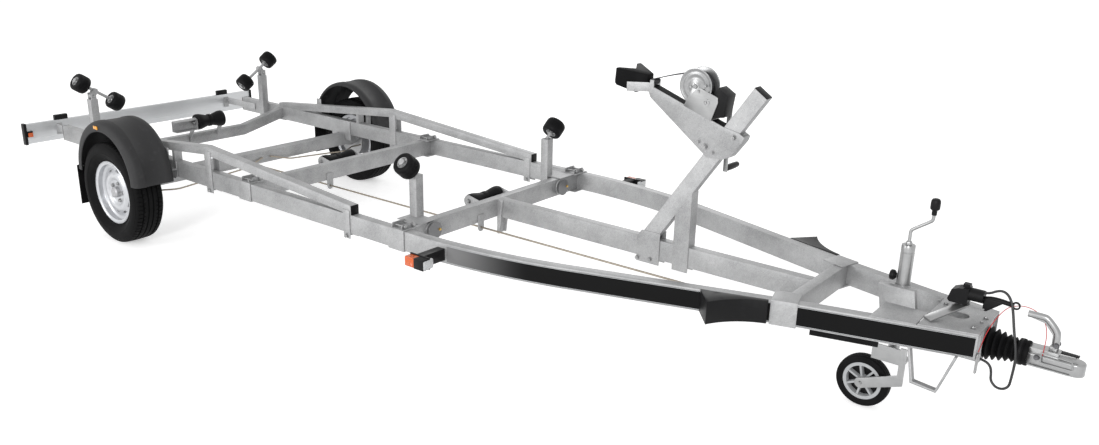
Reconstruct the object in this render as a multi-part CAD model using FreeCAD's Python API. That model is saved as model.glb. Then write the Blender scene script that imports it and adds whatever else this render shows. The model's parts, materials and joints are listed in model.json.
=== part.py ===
import FreeCAD, Part
import math
import os

# Boat trailer: single axle, keel and side rollers, winch post, standing on its jockey wheel.
# X points forward to the coupling, Y to the left, Z up, in millimetres. The origin is on the
# ground, on the centre plane, half way along. Distances named "ahead" are counted from the axle.

V = FreeCAD.Vector
os.makedirs("parts", exist_ok=True)

# Turns, overlaps and gaps
half_turn = 180.0
full_turn = 360.0
right_angle = 90.0
over = 20.0
seat = 0.3
running_gap = 0.05
end_gap = 0.5

# Side rails
rail_half_width = 750.0
rail_width = 50.0
rail_height = 100.0
rail_bottom = 413.0
rail_wall = 4.0
rail_rear_ahead = -1120.0
rail_bend_ahead = 2300.0
rail_bend_radius = 3000.0
rail_bend_angle = 17.5
rail_ease_ahead = 4050.0
rail_ease_radius = 1500.0
rail_ease_angle = 2.7
rail_front_ahead = 4790.0
rail_top = rail_bottom + rail_height
rail_inner = rail_half_width - rail_width

# Cross beams and keel beam
beam_width = 50.0
beam_wall = 4.0
middle_beam_ahead = 985.0
front_beam_ahead = 2225.0
nose_beam_ahead = 4080.0
rear_beam_ahead = -625.0
rear_beam_depth = 76.0
rear_beam_drop = 77.0
rear_beam_flat_half = 350.0
rear_beam_end_top = 503.0
keel_beam_half = 25.0

# Clamps round the rails
clamp_plate = 5.0
clamp_length = 110.0
clamp_reach = 60.0

# Truss rails
truss_height = 50.0
truss_wall = 4.0
truss_rear_ahead = -640.0
truss_peak_ahead = 614.0
truss_front_ahead = 1890.0
truss_rear_top = 538.0
truss_peak_top = 660.0
truss_plate = 5.0
upright_ahead = 640.0
upright_width = 60.0
short_upright_ahead = 270.0
short_upright_width = 26.0
foot_ahead = 1858.0
foot_width = 48.0
plate_drop = 28.0
plate_bolt_radius = 6.0
cap_thickness = 5.0
cap_plug = 25.0

# Wheels, 195/70 R14 on 5.5 inch steel rims
tyre_radius = 314.5
tyre_width = 195.0
tyre_wall = 9.0
wheel_plane_out = 200.0
wheel_plane = rail_half_width + wheel_plane_out
rim_flange_radius = 195.0
rim_half_width = 72.0
bead_radius = 178.0
well_radius = 160.0
rim_steel = 5.0
wheel_offset = 30.0
disc_steel = 5.0
disc_bulge = 16.0
centre_bore_radius = 33.3
bolt_circle_diameter = 112.0
bolt_hole_radius = 7.0
bolt_count = 5
vent_count = 10
vent_radius = 11.0
vent_circle_radius = 132.0
spindle_radius = 20.0
drum_radius = 112.0
hub_radius = 74.0
pilot_radius = 33.0
pilot_length = 34.0
drum_wall = 8.0
backplate_ahead_of_drum = 3.0
backplate_steel = 5.0

# Axle
axle_beam_size = 80.0
axle_beam_ahead = 90.0
axle_beam_reach = 50.0
axle_beam_half_length = rail_half_width + axle_beam_reach
axle_beam_wall = 6.0
swing_arm_width = 34.0
rod_rear_side = 170.0
cable_start_side = 30.0
swing_arm_depth = 60.0
axle_bracket_length = 200.0
axle_bracket_plate = 6.0

# Mudguards
guard_radius = 350.0
guard_centre_height = 410.0
guard_clearance = 50.0
guard_width = 250.0
guard_inner = rail_half_width + guard_clearance
guard_outer = guard_inner + guard_width
guard_wall = 4.0
guard_skirt = 62.0
guard_inner_skirt = 22.0
guard_corner = 26.0

# Light board
board_ahead = -1323.0
board_reach = 155.0
board_half_width = rail_half_width + board_reach
board_top = 515.0
board_height = 139.0
board_depth = 30.0
board_wall = 3.0
lamp_depth = 22.0

# Boat supports
post_size = 50.0
post_wall = 4.0
rear_post_ahead = -800.0
rear_post_top = 735.0
front_post_ahead = 2145.0
front_post_inset = 168.0
front_post_place = rail_inner - front_post_inset
front_post_top = 735.0
roller_radius = 59.0
roller_length = 86.0
roller_rod_radius = 10.0
cradle_tilt = 34.0
front_roller_tilt = 40.0
keel_roller_radius = 38.0
keel_roller_waist = 27.0
keel_roller_length = 236.0
keel_pin_radius = 8.0

# Winch post
mast_base_ahead = 3216.0
mast_lean = 34.2
mast_length = 936.0
mast_depth = 75.0
mast_wall = 4.0
mast_width = 50.0

# Jockey wheel
jockey_behind = 350.0
jockey_tube_radius = 27.5
jockey_tube_wall = 4.0
jockey_tube_bottom = 365.0
jockey_tube_top = 762.0
jockey_wheel_radius = 117.0
jockey_trail = 107.0

# Coupling
draw_axis_height = 436.0
coupling_reach = 318.0
ball_radius = 25.0
socket_wall = 12.0

# Where the pieces lie along X
rear_overhang = board_depth + lamp_depth - board_ahead
ball_ahead = rail_front_ahead + coupling_reach
overall_length = rear_overhang + ball_ahead + ball_radius + socket_wall
axle_x = rear_overhang - overall_length / 2
nose_x = axle_x + rail_front_ahead
jockey_x = nose_x - jockey_behind


# Solids and their placing

def box(x0, x1, y0, y1, z0, z1):
    return Part.makeBox(x1 - x0, y1 - y0, z1 - z0, V(x0, y0, z0))


def rod(start, end, radius):
    return Part.makeCylinder(radius, (end - start).Length, start, end - start)


def prism(points, normal, depth):
    # Extrudes a closed outline of points along the vector of the given depth.
    wire = Part.makePolygon(points + [points[0]])
    return Part.Face(wire).extrude(normal * depth)


def side_prism(outline, y0, y1):
    # The outline is in the side view, as pairs of x and z.
    return prism([V(x, y0, z) for x, z in outline], V(0, 1, 0), y1 - y0)


def front_prism(outline, x0, x1):
    # The outline is in the front view, as pairs of y and z.
    return prism([V(x0, y, z) for y, z in outline], V(1, 0, 0), x1 - x0)


def plan_prism(outline, z0, z1):
    # The outline is in the plan view, as pairs of x and y.
    return prism([V(x, y, z0) for x, y in outline], V(0, 0, 1), z1 - z0)


def ring(outer, inner, start, end):
    return rod(start, end, outer).cut(rod(start, end, inner))


def turned(profile, centre):
    # Turns a profile of radius and reach pairs about a line along Y through the centre.
    points = [centre + V(0, reach, radius) for radius, reach in profile]
    face = Part.Face(Part.makePolygon(points + [points[0]]))
    return face.revolve(centre, V(0, 1, 0), full_turn)


def mirrored(shape):
    return shape.mirror(V(0, 0, 0), V(0, 1, 0))


def pair(shape):
    return [shape, mirrored(shape)]


def fused(shapes):
    result = shapes[0].fuse(shapes[1:])
    return result.removeSplitter()


def bent_path(points, radii):
    # Straight runs joined by tangent arcs, one radius for each inner point.
    edges = []
    last = points[0]
    for i in range(1, len(points) - 1):
        before = (points[i - 1] - points[i]).normalize()
        after = (points[i + 1] - points[i]).normalize()
        half = before.getAngle(after) / 2
        back = radii[i - 1] / math.tan(half)
        start = points[i] + before * back
        end = points[i] + after * back
        inward = (before + after).normalize()
        centre = points[i] + inward * (radii[i - 1] / math.sin(half))
        middle = centre - inward * radii[i - 1]
        if (start - last).Length > seat:
            edges.append(Part.LineSegment(last, start).toShape())
        edges.append(Part.Arc(start, middle, end).toShape())
        last = end
    edges.append(Part.LineSegment(last, points[-1]).toShape())
    return Part.Wire(edges)


def pipe(points, radii, radius):
    path = bent_path(points, radii)
    ring_edge = Part.makeCircle(radius, points[0], points[1] - points[0])
    return path.makePipeShell([Part.Wire(ring_edge)], True, True)


def cord_radii(points):
    # Each arc as large as its two runs allow.
    radii = []
    for i in range(1, len(points) - 1):
        before = points[i - 1] - points[i]
        after = points[i + 1] - points[i]
        turn = math.pi - before.getAngle(after)
        shorter = min(before.Length, after.Length)
        radii.append(shorter * cord_arc_share / math.tan(turn / 2))
    return radii


def save(name, solids):
    shape = solids[0] if len(solids) == 1 else Part.makeCompound(solids)
    shape.exportStep("parts/" + name + ".step")


cord_arc_share = 0.45


# Side rails

def rail_edge(inward):
    # The rail's plan line at a distance inward of its outer face, on the left side.
    bend = math.radians(rail_bend_angle)
    ease = math.radians(rail_ease_angle)
    nose = bend - ease
    centre = V(axle_x + rail_bend_ahead, rail_half_width - rail_bend_radius, 0)
    radius = rail_bend_radius - inward
    out1 = V(math.sin(bend), math.cos(bend), 0)
    out_half = V(math.sin(bend / 2), math.cos(bend / 2), 0)
    along1 = V(math.cos(bend), -math.sin(bend), 0)
    start = V(axle_x + rail_rear_ahead, rail_half_width - inward, 0)
    p1 = V(centre.x, rail_half_width - inward, 0)
    p2 = centre + out1 * radius
    outer2 = centre + out1 * rail_bend_radius
    run = (axle_x + rail_ease_ahead - outer2.x) / math.cos(bend)
    p3 = p2 + along1 * run
    outer3 = outer2 + along1 * run
    centre2 = outer3 + out1 * rail_ease_radius
    radius2 = rail_ease_radius + inward
    out2 = V(math.sin(nose), math.cos(nose), 0)
    out_mid = V(math.sin(bend - ease / 2), math.cos(bend - ease / 2), 0)
    p4 = centre2 - out2 * radius2
    along2 = V(math.cos(nose), -math.sin(nose), 0)
    p5 = p4 + along2 * ((axle_x + rail_front_ahead - p4.x) / math.cos(nose))
    edges = [
        Part.LineSegment(start, p1).toShape(),
        Part.Arc(p1, centre + out_half * radius, p2).toShape(),
        Part.LineSegment(p2, p3).toShape(),
        Part.Arc(p3, centre2 - out_mid * radius2, p4).toShape(),
        Part.LineSegment(p4, p5).toShape(),
    ]
    return edges, [start, p1, p2, p3, p4, p5]


def rail_band(outward, inward, z0, z1):
    # A solid that follows the rail between two distances from its outer face.
    outer, outer_points = rail_edge(outward)
    inner, inner_points = rail_edge(inward)
    rear = Part.LineSegment(outer_points[0], inner_points[0]).toShape()
    front = Part.LineSegment(outer_points[-1], inner_points[-1]).toShape()
    edges = outer + [front] + inner[::-1] + [rear]
    wire = Part.Wire(Part.__sortEdges__(edges))
    face = Part.Face(wire)
    face.translate(V(0, 0, z0))
    return face.extrude(V(0, 0, z1 - z0))


def side_rail():
    outer = rail_band(0, rail_width, rail_bottom, rail_top)
    inner = rail_band(rail_wall, rail_width - rail_wall, rail_bottom + rail_wall, rail_top - rail_wall)
    return outer.cut(inner)


def rail_place(x, inward):
    # Place and heading of the left rail's line at a distance inward of its outer face.
    edges, points = rail_edge(inward)
    for start, end in zip(points, points[1:]):
        if start.x <= x <= end.x:
            share = (x - start.x) / (end.x - start.x)
            chord = end - start
            if start is points[1]:
                reach = x - start.x
                radius = rail_bend_radius - inward
                sag = radius - math.sqrt(radius * radius - reach * reach)
                heading = -math.degrees(math.asin(reach / radius))
                return V(x, start.y - sag, 0), heading
            return start + chord * share, math.degrees(math.atan2(chord.y, chord.x))
    return points[-1], 0


def on_rail(shape, x):
    # Moves a shape made about the origin to the left rail's outer face at x.
    place, heading = rail_place(x, 0)
    moved = shape.copy()
    moved.rotate(V(0, 0, 0), V(0, 0, 1), heading)
    moved.translate(place)
    return moved


save("side_rails", pair(side_rail()))


# Cross beams

def straight_beam(ahead):
    x0 = axle_x + ahead - beam_width / 2
    x1 = x0 + beam_width
    body = box(x0, x1, -rail_inner, rail_inner, rail_bottom, rail_top)
    void = box(x0 + beam_wall, x1 - beam_wall, -rail_inner - over, rail_inner + over,
               rail_bottom + beam_wall, rail_top - beam_wall)
    return body.cut(void)


def nose_beam():
    x0 = axle_x + nose_beam_ahead - beam_width / 2
    x1 = x0 + beam_width
    reach = rail_place(x0, rail_width)[0].y
    body = box(x0, x1, -reach, reach, rail_bottom, rail_top)
    for side in pair(rail_band(0, rail_width + seat, rail_bottom - over, rail_top + over)):
        body = body.cut(side)
    void = box(x0 + beam_wall, x1 - beam_wall, -rail_inner, rail_inner,
               rail_bottom + beam_wall, rail_top - beam_wall)
    return body.cut(void)


def rear_beam():
    x0 = axle_x + rear_beam_ahead - beam_width / 2
    ends = rear_beam_end_top
    low = ends - rear_beam_drop
    outline = [(-rail_inner, ends), (-rear_beam_flat_half, low), (rear_beam_flat_half, low),
               (rail_inner, ends)]
    under = [(y, z - rear_beam_depth) for y, z in outline]
    inner_top = [(y, z - beam_wall) for y, z in outline]
    inner_low = [(y, z + beam_wall) for y, z in under]
    body = front_prism(outline + under[::-1], x0, x0 + beam_width)
    void = front_prism(inner_top + inner_low[::-1], x0 + beam_wall, x0 + beam_width - beam_wall)
    return body.cut(void)


save("cross_beams", [rear_beam(), straight_beam(middle_beam_ahead), straight_beam(front_beam_ahead),
                     nose_beam()])

keel_rear = axle_x + front_beam_ahead + beam_width / 2
keel_front = axle_x + nose_beam_ahead - beam_width / 2
keel_void = box(keel_rear - over, keel_front + over, -keel_beam_half + beam_wall,
                keel_beam_half - beam_wall, rail_bottom + beam_wall, rail_top - beam_wall)
keel_beam = box(keel_rear, keel_front, -keel_beam_half, keel_beam_half, rail_bottom, rail_top)
save("keel_beam", [keel_beam.cut(keel_void)])


# Clamps: a folded plate round the outside of the rail and over the beam's end

disc_radius = 48.0
disc_thickness = 10.0
disc_handle_length = 62.0
disc_handle_width = 12.0
disc_handle_height = 14.0


def along_rail(ahead, length):
    # A slab across the left rail at this place, as long as a clamp, to cut bands with.
    slab = box(-length / 2, length / 2, -rail_half_width, rail_half_width, 0, overall_length)
    return on_rail(slab, axle_x + ahead)


def rail_clamp(ahead):
    inside = rail_width + clamp_reach
    wall = rail_band(-clamp_plate, 0, rail_bottom - clamp_plate, rail_top + clamp_plate)
    top = rail_band(-clamp_plate, inside, rail_top, rail_top + clamp_plate)
    low = rail_band(-clamp_plate, inside, rail_bottom - clamp_plate, rail_bottom)
    slab = along_rail(ahead, clamp_length)
    return fused([wall.common(slab), top.common(slab), low.common(slab)])


def rear_clamp():
    # Wraps the outside of the rail only, under the truss rail that lies on it.
    wall = rail_band(-clamp_plate, 0, rail_bottom - clamp_plate, rail_top)
    low = rail_band(-clamp_plate, rail_width, rail_bottom - clamp_plate, rail_bottom)
    slab = along_rail(rear_beam_ahead, clamp_length)
    return fused([wall.common(slab), low.common(slab)])


def disc_clamp():
    face = axle_x + front_beam_ahead + beam_width / 2
    middle = (rail_bottom + rail_top) / 2
    start = V(face, front_post_place, middle)
    end = start + V(disc_thickness, 0, 0)
    plate = rod(start, end, disc_radius)
    handle = box(end.x, end.x + disc_handle_height, front_post_place - disc_handle_width / 2,
                 front_post_place + disc_handle_width / 2, middle - disc_handle_length / 2,
                 middle + disc_handle_length / 2)
    return fused([plate, handle])


clamps = []
for place in (middle_beam_ahead, front_beam_ahead, nose_beam_ahead):
    clamps += pair(rail_clamp(place))
clamps += pair(rear_clamp())
clamps += pair(disc_clamp())


# Truss rails with their uprights and feet

def truss_rail():
    x0 = axle_x + truss_rear_ahead
    xp = axle_x + truss_peak_ahead
    x1 = axle_x + truss_front_ahead
    rise = (truss_peak_top - truss_rear_top) / (xp - x0)
    front_top = rail_top + truss_height
    lap = x0 + (rail_top + truss_height - truss_rear_top) / rise
    y0 = rail_inner
    y1 = rail_half_width
    top = [(x0, truss_rear_top), (xp, truss_peak_top), (x1, front_top)]
    low = [(x1, rail_top), (xp, truss_peak_top - truss_height), (lap, rail_top), (x0, rail_top)]
    body = side_prism(top + low, y0, y1)
    past = over * (truss_peak_top - front_top) / (x1 - xp)
    inner_top = [(xp, truss_peak_top - truss_wall), (x1 + over, front_top - truss_wall - past)]
    inner_low = [(x1 + over, rail_top + truss_wall - past), (xp, truss_peak_top - truss_height + truss_wall)]
    void = side_prism(inner_top + inner_low, y0 + truss_wall, y1 - truss_wall)
    tube = body.cut(void)
    pieces = [tube]
    plates = ((upright_ahead, upright_width, truss_peak_top - truss_height / 2),
              (foot_ahead, foot_width, rail_top + truss_height / 2))
    for ahead, width, top_height in plates:
        x = axle_x + ahead
        for side in (y1, y0 - truss_plate):
            pieces.append(box(x - width / 2, x + width / 2, side, side + truss_plate,
                              rail_bottom - plate_drop, top_height))
        bolt_height = rail_bottom - plate_drop / 2
        pieces.append(rod(V(x, y0 - truss_plate, bolt_height), V(x, y1 + truss_plate, bolt_height),
                          plate_bolt_radius))
    xs = axle_x + short_upright_ahead
    under = truss_rear_top + rise * (xs - x0) - truss_height
    half = short_upright_width / 2
    slope = rise * half
    pieces.append(side_prism([(xs - half, rail_top), (xs + half, rail_top), (xs + half, under + slope),
                              (xs - half, under - slope)], y0, y1))
    return fused(pieces)


save("truss_rails", pair(truss_rail()))


# Mast frame of the leaning winch post

lean = math.radians(mast_lean)
mast_axis = V(math.sin(lean), 0, math.cos(lean))
mast_across = V(math.cos(lean), 0, -math.sin(lean))
mast_base = V(axle_x + mast_base_ahead, 0, rail_top)
mast_top = mast_base + mast_axis * mast_length
mast_low_edge = mast_base + mast_across * (mast_depth / 2)
brace_rear_beyond = 147.0
brace_front_beyond = 231.0
brace_plate = 5.0
brace_gap = 0.3
brace_drop = 26.0
saddle_behind = 56.0
saddle_beyond = 72.0
saddle_top = 548.0


def edge_height(x):
    # Height of the post's lower edge line at x.
    return mast_low_edge.z + (x - mast_low_edge.x) / math.tan(lean)


def mast():
    half_width = mast_width / 2
    low = mast_base - mast_axis * (mast_depth * math.tan(lean))
    corners = [low - mast_across * (mast_depth / 2), low + mast_across * (mast_depth / 2),
               mast_top + mast_across * (mast_depth / 2), mast_top - mast_across * (mast_depth / 2)]
    inset = mast_depth / 2 - mast_wall
    inner = [low - mast_across * inset, low + mast_across * inset,
             mast_top + mast_axis * over + mast_across * inset,
             mast_top + mast_axis * over - mast_across * inset]
    body = side_prism([(c.x, c.z) for c in corners], -half_width, half_width)
    void = side_prism([(c.x, c.z) for c in inner], -half_width + mast_wall, half_width - mast_wall)
    below = box(low.x - overall_length, low.x + overall_length, -rail_width, rail_width, 0, rail_top)
    return body.cut(void).cut(below)


def mast_saddle():
    # Plates each side of the keel beam and the post's foot, joined by pins under the beam.
    x0 = mast_base.x - saddle_behind
    x1 = mast_base.x + saddle_beyond
    low = rail_bottom - plate_drop
    lift = saddle_top - rail_top
    outline = [(x0, low), (x1, low), (x1, saddle_top), (x0 + lift * math.tan(lean), saddle_top),
               (x0, rail_top)]
    pieces = []
    for y0 in (keel_beam_half, -keel_beam_half - clamp_plate):
        pieces.append(side_prism(outline, y0, y0 + clamp_plate))
    for x in (x0 + clamp_reach / 2, x1 - clamp_reach / 2):
        height = rail_bottom - plate_drop / 2
        pieces.append(rod(V(x, -keel_beam_half - clamp_plate, height),
                          V(x, keel_beam_half + clamp_plate, height), plate_bolt_radius))
    return pieces


def mast_brace():
    # A channel that stands on the keel beam and is cut to the post's lower edge.
    x0 = mast_base.x + brace_rear_beyond
    x1 = mast_base.x + brace_front_beyond
    low = rail_bottom - brace_drop
    down = brace_gap / math.sin(lean)
    outline = [(x0, low), (x1, low), (x1, edge_height(x1) - down), (x0, edge_height(x0) - down)]
    sides = []
    for y0 in (keel_beam_half, -keel_beam_half - brace_plate):
        sides.append(side_prism(outline, y0, y0 + brace_plate))
    web_outline = [(x1 - brace_plate, rail_top), (x1, rail_top), (x1, edge_height(x1) - down),
                   (x1 - brace_plate, edge_height(x1 - brace_plate) - down)]
    sides.append(side_prism(web_outline, -keel_beam_half, keel_beam_half))
    x = (x0 + x1) / 2
    height = rail_bottom - brace_drop / 2
    sides.append(rod(V(x, -keel_beam_half - brace_plate, height),
                     V(x, keel_beam_half + brace_plate, height), plate_bolt_radius))
    return fused(sides)


save("winch_post", [fused([mast()] + mast_saddle()), mast_brace()])


# End caps of black plastic, with a plug that goes into the tube

def cap(length, width, height):
    # Stands on the plane x = 0 with its plug on the negative side.
    plate = box(0, cap_thickness, -width / 2, width / 2, -height / 2, height / 2)
    inset = rail_wall + seat
    plug = box(-cap_plug, 0, -width / 2 + inset, width / 2 - inset, -height / 2 + inset,
               height / 2 - inset)
    return fused([plate, plug])


def end_caps():
    caps = []
    rail_cap = cap(cap_plug, rail_width, rail_height)
    rail_cap.rotate(V(0, 0, 0), V(0, 0, 1), half_turn)
    rail_cap.translate(V(axle_x + rail_rear_ahead, rail_half_width - rail_width / 2,
                         rail_bottom + rail_height / 2))
    caps += pair(rail_cap)
    fall = truss_peak_top - truss_height - rail_top
    slope = math.atan2(fall, truss_front_ahead - truss_peak_ahead)
    truss_cap = box(0, cap_thickness, -rail_width / 2, rail_width / 2, 0, truss_height)
    inset = truss_wall + seat + cap_plug * math.tan(slope)
    truss_plug = box(-cap_plug, 0, -rail_width / 2 + truss_wall + seat,
                     rail_width / 2 - truss_wall - seat, inset, truss_height - truss_wall - seat)
    truss_cap = fused([truss_cap, truss_plug])
    truss_cap.translate(V(axle_x + truss_front_ahead, rail_half_width - rail_width / 2, rail_top))
    caps += pair(truss_cap)
    mast_cap = cap(cap_plug, mast_width, mast_depth)
    mast_cap.rotate(V(0, 0, 0), V(0, 1, 0), mast_lean - right_angle)
    mast_cap.translate(mast_top)
    caps.append(mast_cap)
    return caps



# Light board, its end caps, arms and lamps

board_lip = 30.0
board_cap_width = 18.0
board_cap_proud = 5.0
arm_height = 50.0
arm_width = 8.0
arm_front_ahead = -950.0
arm_bottom = 438.0
foot_plate = 8.0
foot_length = 40.0
foot_height = 100.0
lamp_inset = 25.0
lamp_width = 240.0
lamp_outer = board_half_width - lamp_inset
lamp_inner = lamp_outer - lamp_width
lamp_height = 92.0
lens_depth = 8.0
marker_width = 34.0
marker_height = 40.0
marker_depth = 14.0
marker_lens = 8.0
clip_width = 90.0
clip_height = 34.0
clip_inset = 250.0
clip_place = board_half_width - clip_inset


def light_board():
    front = axle_x + board_ahead
    rear = front - board_depth
    low = board_top - board_height
    lip = low + board_lip
    w = board_wall
    outline = [(rear, board_top), (front, board_top), (front, lip + w), (front - w, lip), (front - w, low),
               (rear, low), (rear, low + w), (front - w - w, low + w), (front - w - w, lip + w),
               (front - w, lip + w + w), (front - w, board_top - w), (rear, board_top - w)]
    return side_prism(outline, -board_half_width, board_half_width)


def board_caps():
    front = axle_x + board_ahead
    low = board_top - board_height
    return box(front - board_depth - board_cap_proud, front + board_cap_proud, board_half_width,
               board_half_width + board_cap_width, low - board_cap_proud, board_top + board_cap_proud)


def board_arm():
    front = axle_x + board_ahead
    y1 = rail_inner
    y0 = y1 - arm_width
    bar = box(front + foot_plate, axle_x + arm_front_ahead, y0, y1, arm_bottom, arm_bottom + arm_height)
    middle = arm_bottom + arm_height / 2
    foot = box(front, front + foot_plate, y1 - foot_length, y1, middle - foot_height / 2,
               middle + foot_height / 2 - over)
    return fused([bar, foot])


lamp_bottom = board_top - board_height + board_lip + board_wall + board_wall + seat


def rear_lamp():
    rear = axle_x + board_ahead - board_depth
    front = axle_x + board_ahead - board_wall - seat
    return box(rear - lamp_depth + lens_depth, front, lamp_inner, lamp_outer, lamp_bottom,
               lamp_bottom + lamp_height)


def red_lens():
    rear = axle_x + board_ahead - board_depth - lamp_depth + lens_depth
    body = box(rear - lens_depth, rear, lamp_inner, lamp_outer, lamp_bottom, lamp_bottom + lamp_height)
    edges = [e for e in body.Edges if abs(e.BoundBox.XLength - lens_depth) < seat]
    return body.makeFillet(marker_lens, edges)


def board_marker():
    front = axle_x + board_ahead
    y1 = board_half_width
    z0 = board_top - board_height + board_lip + over
    return box(front, front + marker_depth, y1 - marker_width, y1, z0, z0 + marker_height)


def board_marker_lens():
    front = axle_x + board_ahead + marker_depth
    y1 = board_half_width
    z0 = board_top - board_height + board_lip + over
    return box(front, front + marker_lens, y1 - marker_width, y1, z0, z0 + marker_height - marker_lens)


def board_clip():
    front = axle_x + board_ahead
    return box(front - board_depth, front - board_wall, clip_place - clip_width / 2,
               clip_place + clip_width / 2, board_top, board_top + clip_height)


save("light_board", [light_board()])
save("end_caps", end_caps() + pair(board_caps()))
save("red_lenses", pair(red_lens()))


# Axle beam with its brackets, and the swing arms

def axle_beam():
    x0 = axle_x + axle_beam_ahead - axle_beam_size / 2
    x1 = x0 + axle_beam_size
    z0 = rail_bottom - axle_beam_size
    w = axle_beam_wall
    length = axle_beam_half_length
    body = box(x0, x1, -length, length, z0, rail_bottom)
    void = box(x0 + w, x1 - w, -length - over, length + over, z0 + w, rail_bottom - w)
    return body.cut(void)


def axle_bracket():
    # A plate on the rail's inner face that reaches down beside the beam on both its sides.
    x = axle_x + axle_beam_ahead
    half = axle_bracket_length / 2
    low = rail_bottom - axle_beam_size / 2
    plate = box(x - half, x + half, rail_inner - axle_bracket_plate, rail_inner, low, rail_top)
    notch = box(x - axle_beam_size / 2 - seat, x + axle_beam_size / 2 + seat, rail_inner - over,
                rail_inner + over, low - over, rail_bottom)
    return plate.cut(notch)


def cable_bracket():
    x0 = axle_x + axle_beam_ahead + axle_beam_size / 2
    z1 = rail_bottom - over
    plate = box(x0, x0 + axle_bracket_plate, -rod_rear_side - over, cable_start_side + over,
                z1 - marker_height, z1)
    return plate


drum_inner = wheel_plane - rim_half_width
backplate_plane = drum_inner - backplate_ahead_of_drum - backplate_steel
hub_face = wheel_plane + wheel_offset
wheel_centre = V(axle_x, 0, tyre_radius)
arm_inner = axle_beam_half_length
spindle_end = hub_face + pilot_length / 2


def swing_arm():
    beam = V(axle_x + axle_beam_ahead, arm_inner, rail_bottom - axle_beam_size / 2)
    width = V(0, swing_arm_width, 0)
    wheel = V(axle_x, arm_inner, tyre_radius)
    big = rod(beam, beam + width, axle_beam_size / 2)
    small = rod(wheel, wheel + width, swing_arm_depth / 2)
    along = (wheel - beam).normalize()
    across = V(-along.z, 0, along.x)
    corners = [beam + across * (swing_arm_depth / 2), beam - across * (swing_arm_depth / 2),
               wheel - across * (swing_arm_depth / 2), wheel + across * (swing_arm_depth / 2)]
    web = prism(corners, V(0, 1, 0), swing_arm_width)
    boss = rod(wheel, V(axle_x, backplate_plane, tyre_radius), swing_arm_depth / 2)
    plate = rod(V(axle_x, backplate_plane, tyre_radius),
                V(axle_x, backplate_plane + backplate_steel, tyre_radius), drum_radius)
    spindle = rod(wheel, V(axle_x, spindle_end, tyre_radius), spindle_radius)
    return fused([big, small, web, boss, plate, spindle])


save("axle_beam", [fused([axle_beam(), cable_bracket()])])
save("swing_arms", pair(swing_arm()))


# Wheels

def hub():
    r = drum_radius
    w = drum_wall
    face = hub_face
    core = spindle_radius + running_gap
    cap_end = face + pilot_length
    profile = [(core, drum_inner + w), (hub_radius / 2, drum_inner + w), (hub_radius / 2, face - w - w - w),
               (r - w, face - w - w - w), (r - w, drum_inner), (r, drum_inner), (r, face - w - w),
               (hub_radius, face - w - w), (hub_radius, face), (pilot_radius, face),
               (pilot_radius, cap_end - w), (pilot_radius - w, cap_end), (0, cap_end),
               (0, spindle_end + end_gap), (core, spindle_end + end_gap)]
    body = turned(profile, wheel_centre)
    for i in range(bolt_count):
        body = body.cut(bolt_hole(i, face - w - w - over, face + over))
    return body


def bolt_hole(index, y0, y1):
    angle = 2 * math.pi * index / bolt_count
    radius = bolt_circle_diameter / 2
    across = V(radius * math.sin(angle), 0, radius * math.cos(angle))
    centre = wheel_centre + across
    return rod(centre + V(0, y0, 0), centre + V(0, y1, 0), bolt_hole_radius)


def rim():
    a = rim_half_width
    t = rim_steel
    flange = rim_flange_radius
    bead = bead_radius
    well = well_radius
    outer = [(flange, a), (flange, a - t), (bead, a - t - t), (bead, a - over - t), (well, a - over - over - t),
             (well, -over), (bead, -over - over - t), (bead, -a + t + t), (flange, -a + t), (flange, -a)]
    inner = [(flange - t, -a), (bead - t, -a + t), (bead - t, -over - over), (well - t, -over + t),
             (well - t, a - over - over), (bead - t, a - over), (bead - t, a - t), (flange - t, a)]
    barrel = turned([(r, wheel_plane + y) for r, y in outer + inner], wheel_centre)
    o = wheel_offset
    d = disc_steel
    disc_outer = [(centre_bore_radius, o), (hub_radius + d, o), (hub_radius + over, o + disc_bulge),
                  (vent_circle_radius - over, o + disc_bulge), (vent_circle_radius + over, o - d),
                  (well - t / 2, o - d)]
    disc_inner = [(r, y + d) for r, y in disc_outer]
    disc = turned([(r, wheel_plane + y) for r, y in disc_outer + disc_inner[::-1]], wheel_centre)
    body = fused([barrel, disc])
    for i in range(bolt_count):
        body = body.cut(bolt_hole(i, hub_face - over, hub_face + over))
    for i in range(vent_count):
        angle = 2 * math.pi * i / vent_count
        centre = wheel_centre + V(vent_circle_radius * math.sin(angle), 0,
                                  vent_circle_radius * math.cos(angle))
        body = body.cut(rod(centre + V(0, wheel_plane, 0), centre + V(0, wheel_plane + o + o, 0),
                            vent_radius))
    return body


def tyre():
    half = tyre_width / 2
    bead = bead_radius + seat
    lip = rim_half_width - rim_steel - rim_steel
    r = tyre_radius
    flange = rim_flange_radius
    wall = tyre_wall
    side = [(bead, lip - wall), (bead, lip - seat - seat), (flange + seat, lip + rim_steel - seat - seat),
            (flange + wall / 2, rim_half_width), (flange + wall + wall, lip + over),
            (flange + over + over, half - wall / 2), (r - over - over - over, half),
            (r - over - over, half - wall / 3), (r - over, half - wall), (r - wall / 2, half - over),
            (r - seat - seat, half - over - over), (r, 0)]
    cavity = [(r - wall - wall, 0), (r - wall - wall, half - over - over), (r - over - wall, half - over),
              (r - over - over - wall, half - wall - wall / 2), (flange + over + over, half - wall - wall),
              (flange, lip - wall)]
    profile = (side + [(radius, -y) for radius, y in side[-2::-1]]
               + [(radius, -y) for radius, y in cavity[:0:-1]] + cavity)
    return turned([(radius, wheel_plane + y) for radius, y in profile], wheel_centre)


for name, solid in (("hub", hub()), ("rim", rim()), ("tyre", tyre())):
    save(name + "_left", [solid])
    save(name + "_right", [mirrored(solid)])


# Mudguards with flaps and brackets

flap_thickness = 5.0
flap_bottom = 178.0
reflector_width = 44.0
reflector_height = 22.0
reflector_depth = 6.0
reflector_angle = 97.5
stay_width = 50.0
stay_plate = 5.0
stay_ahead = 275.0


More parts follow.
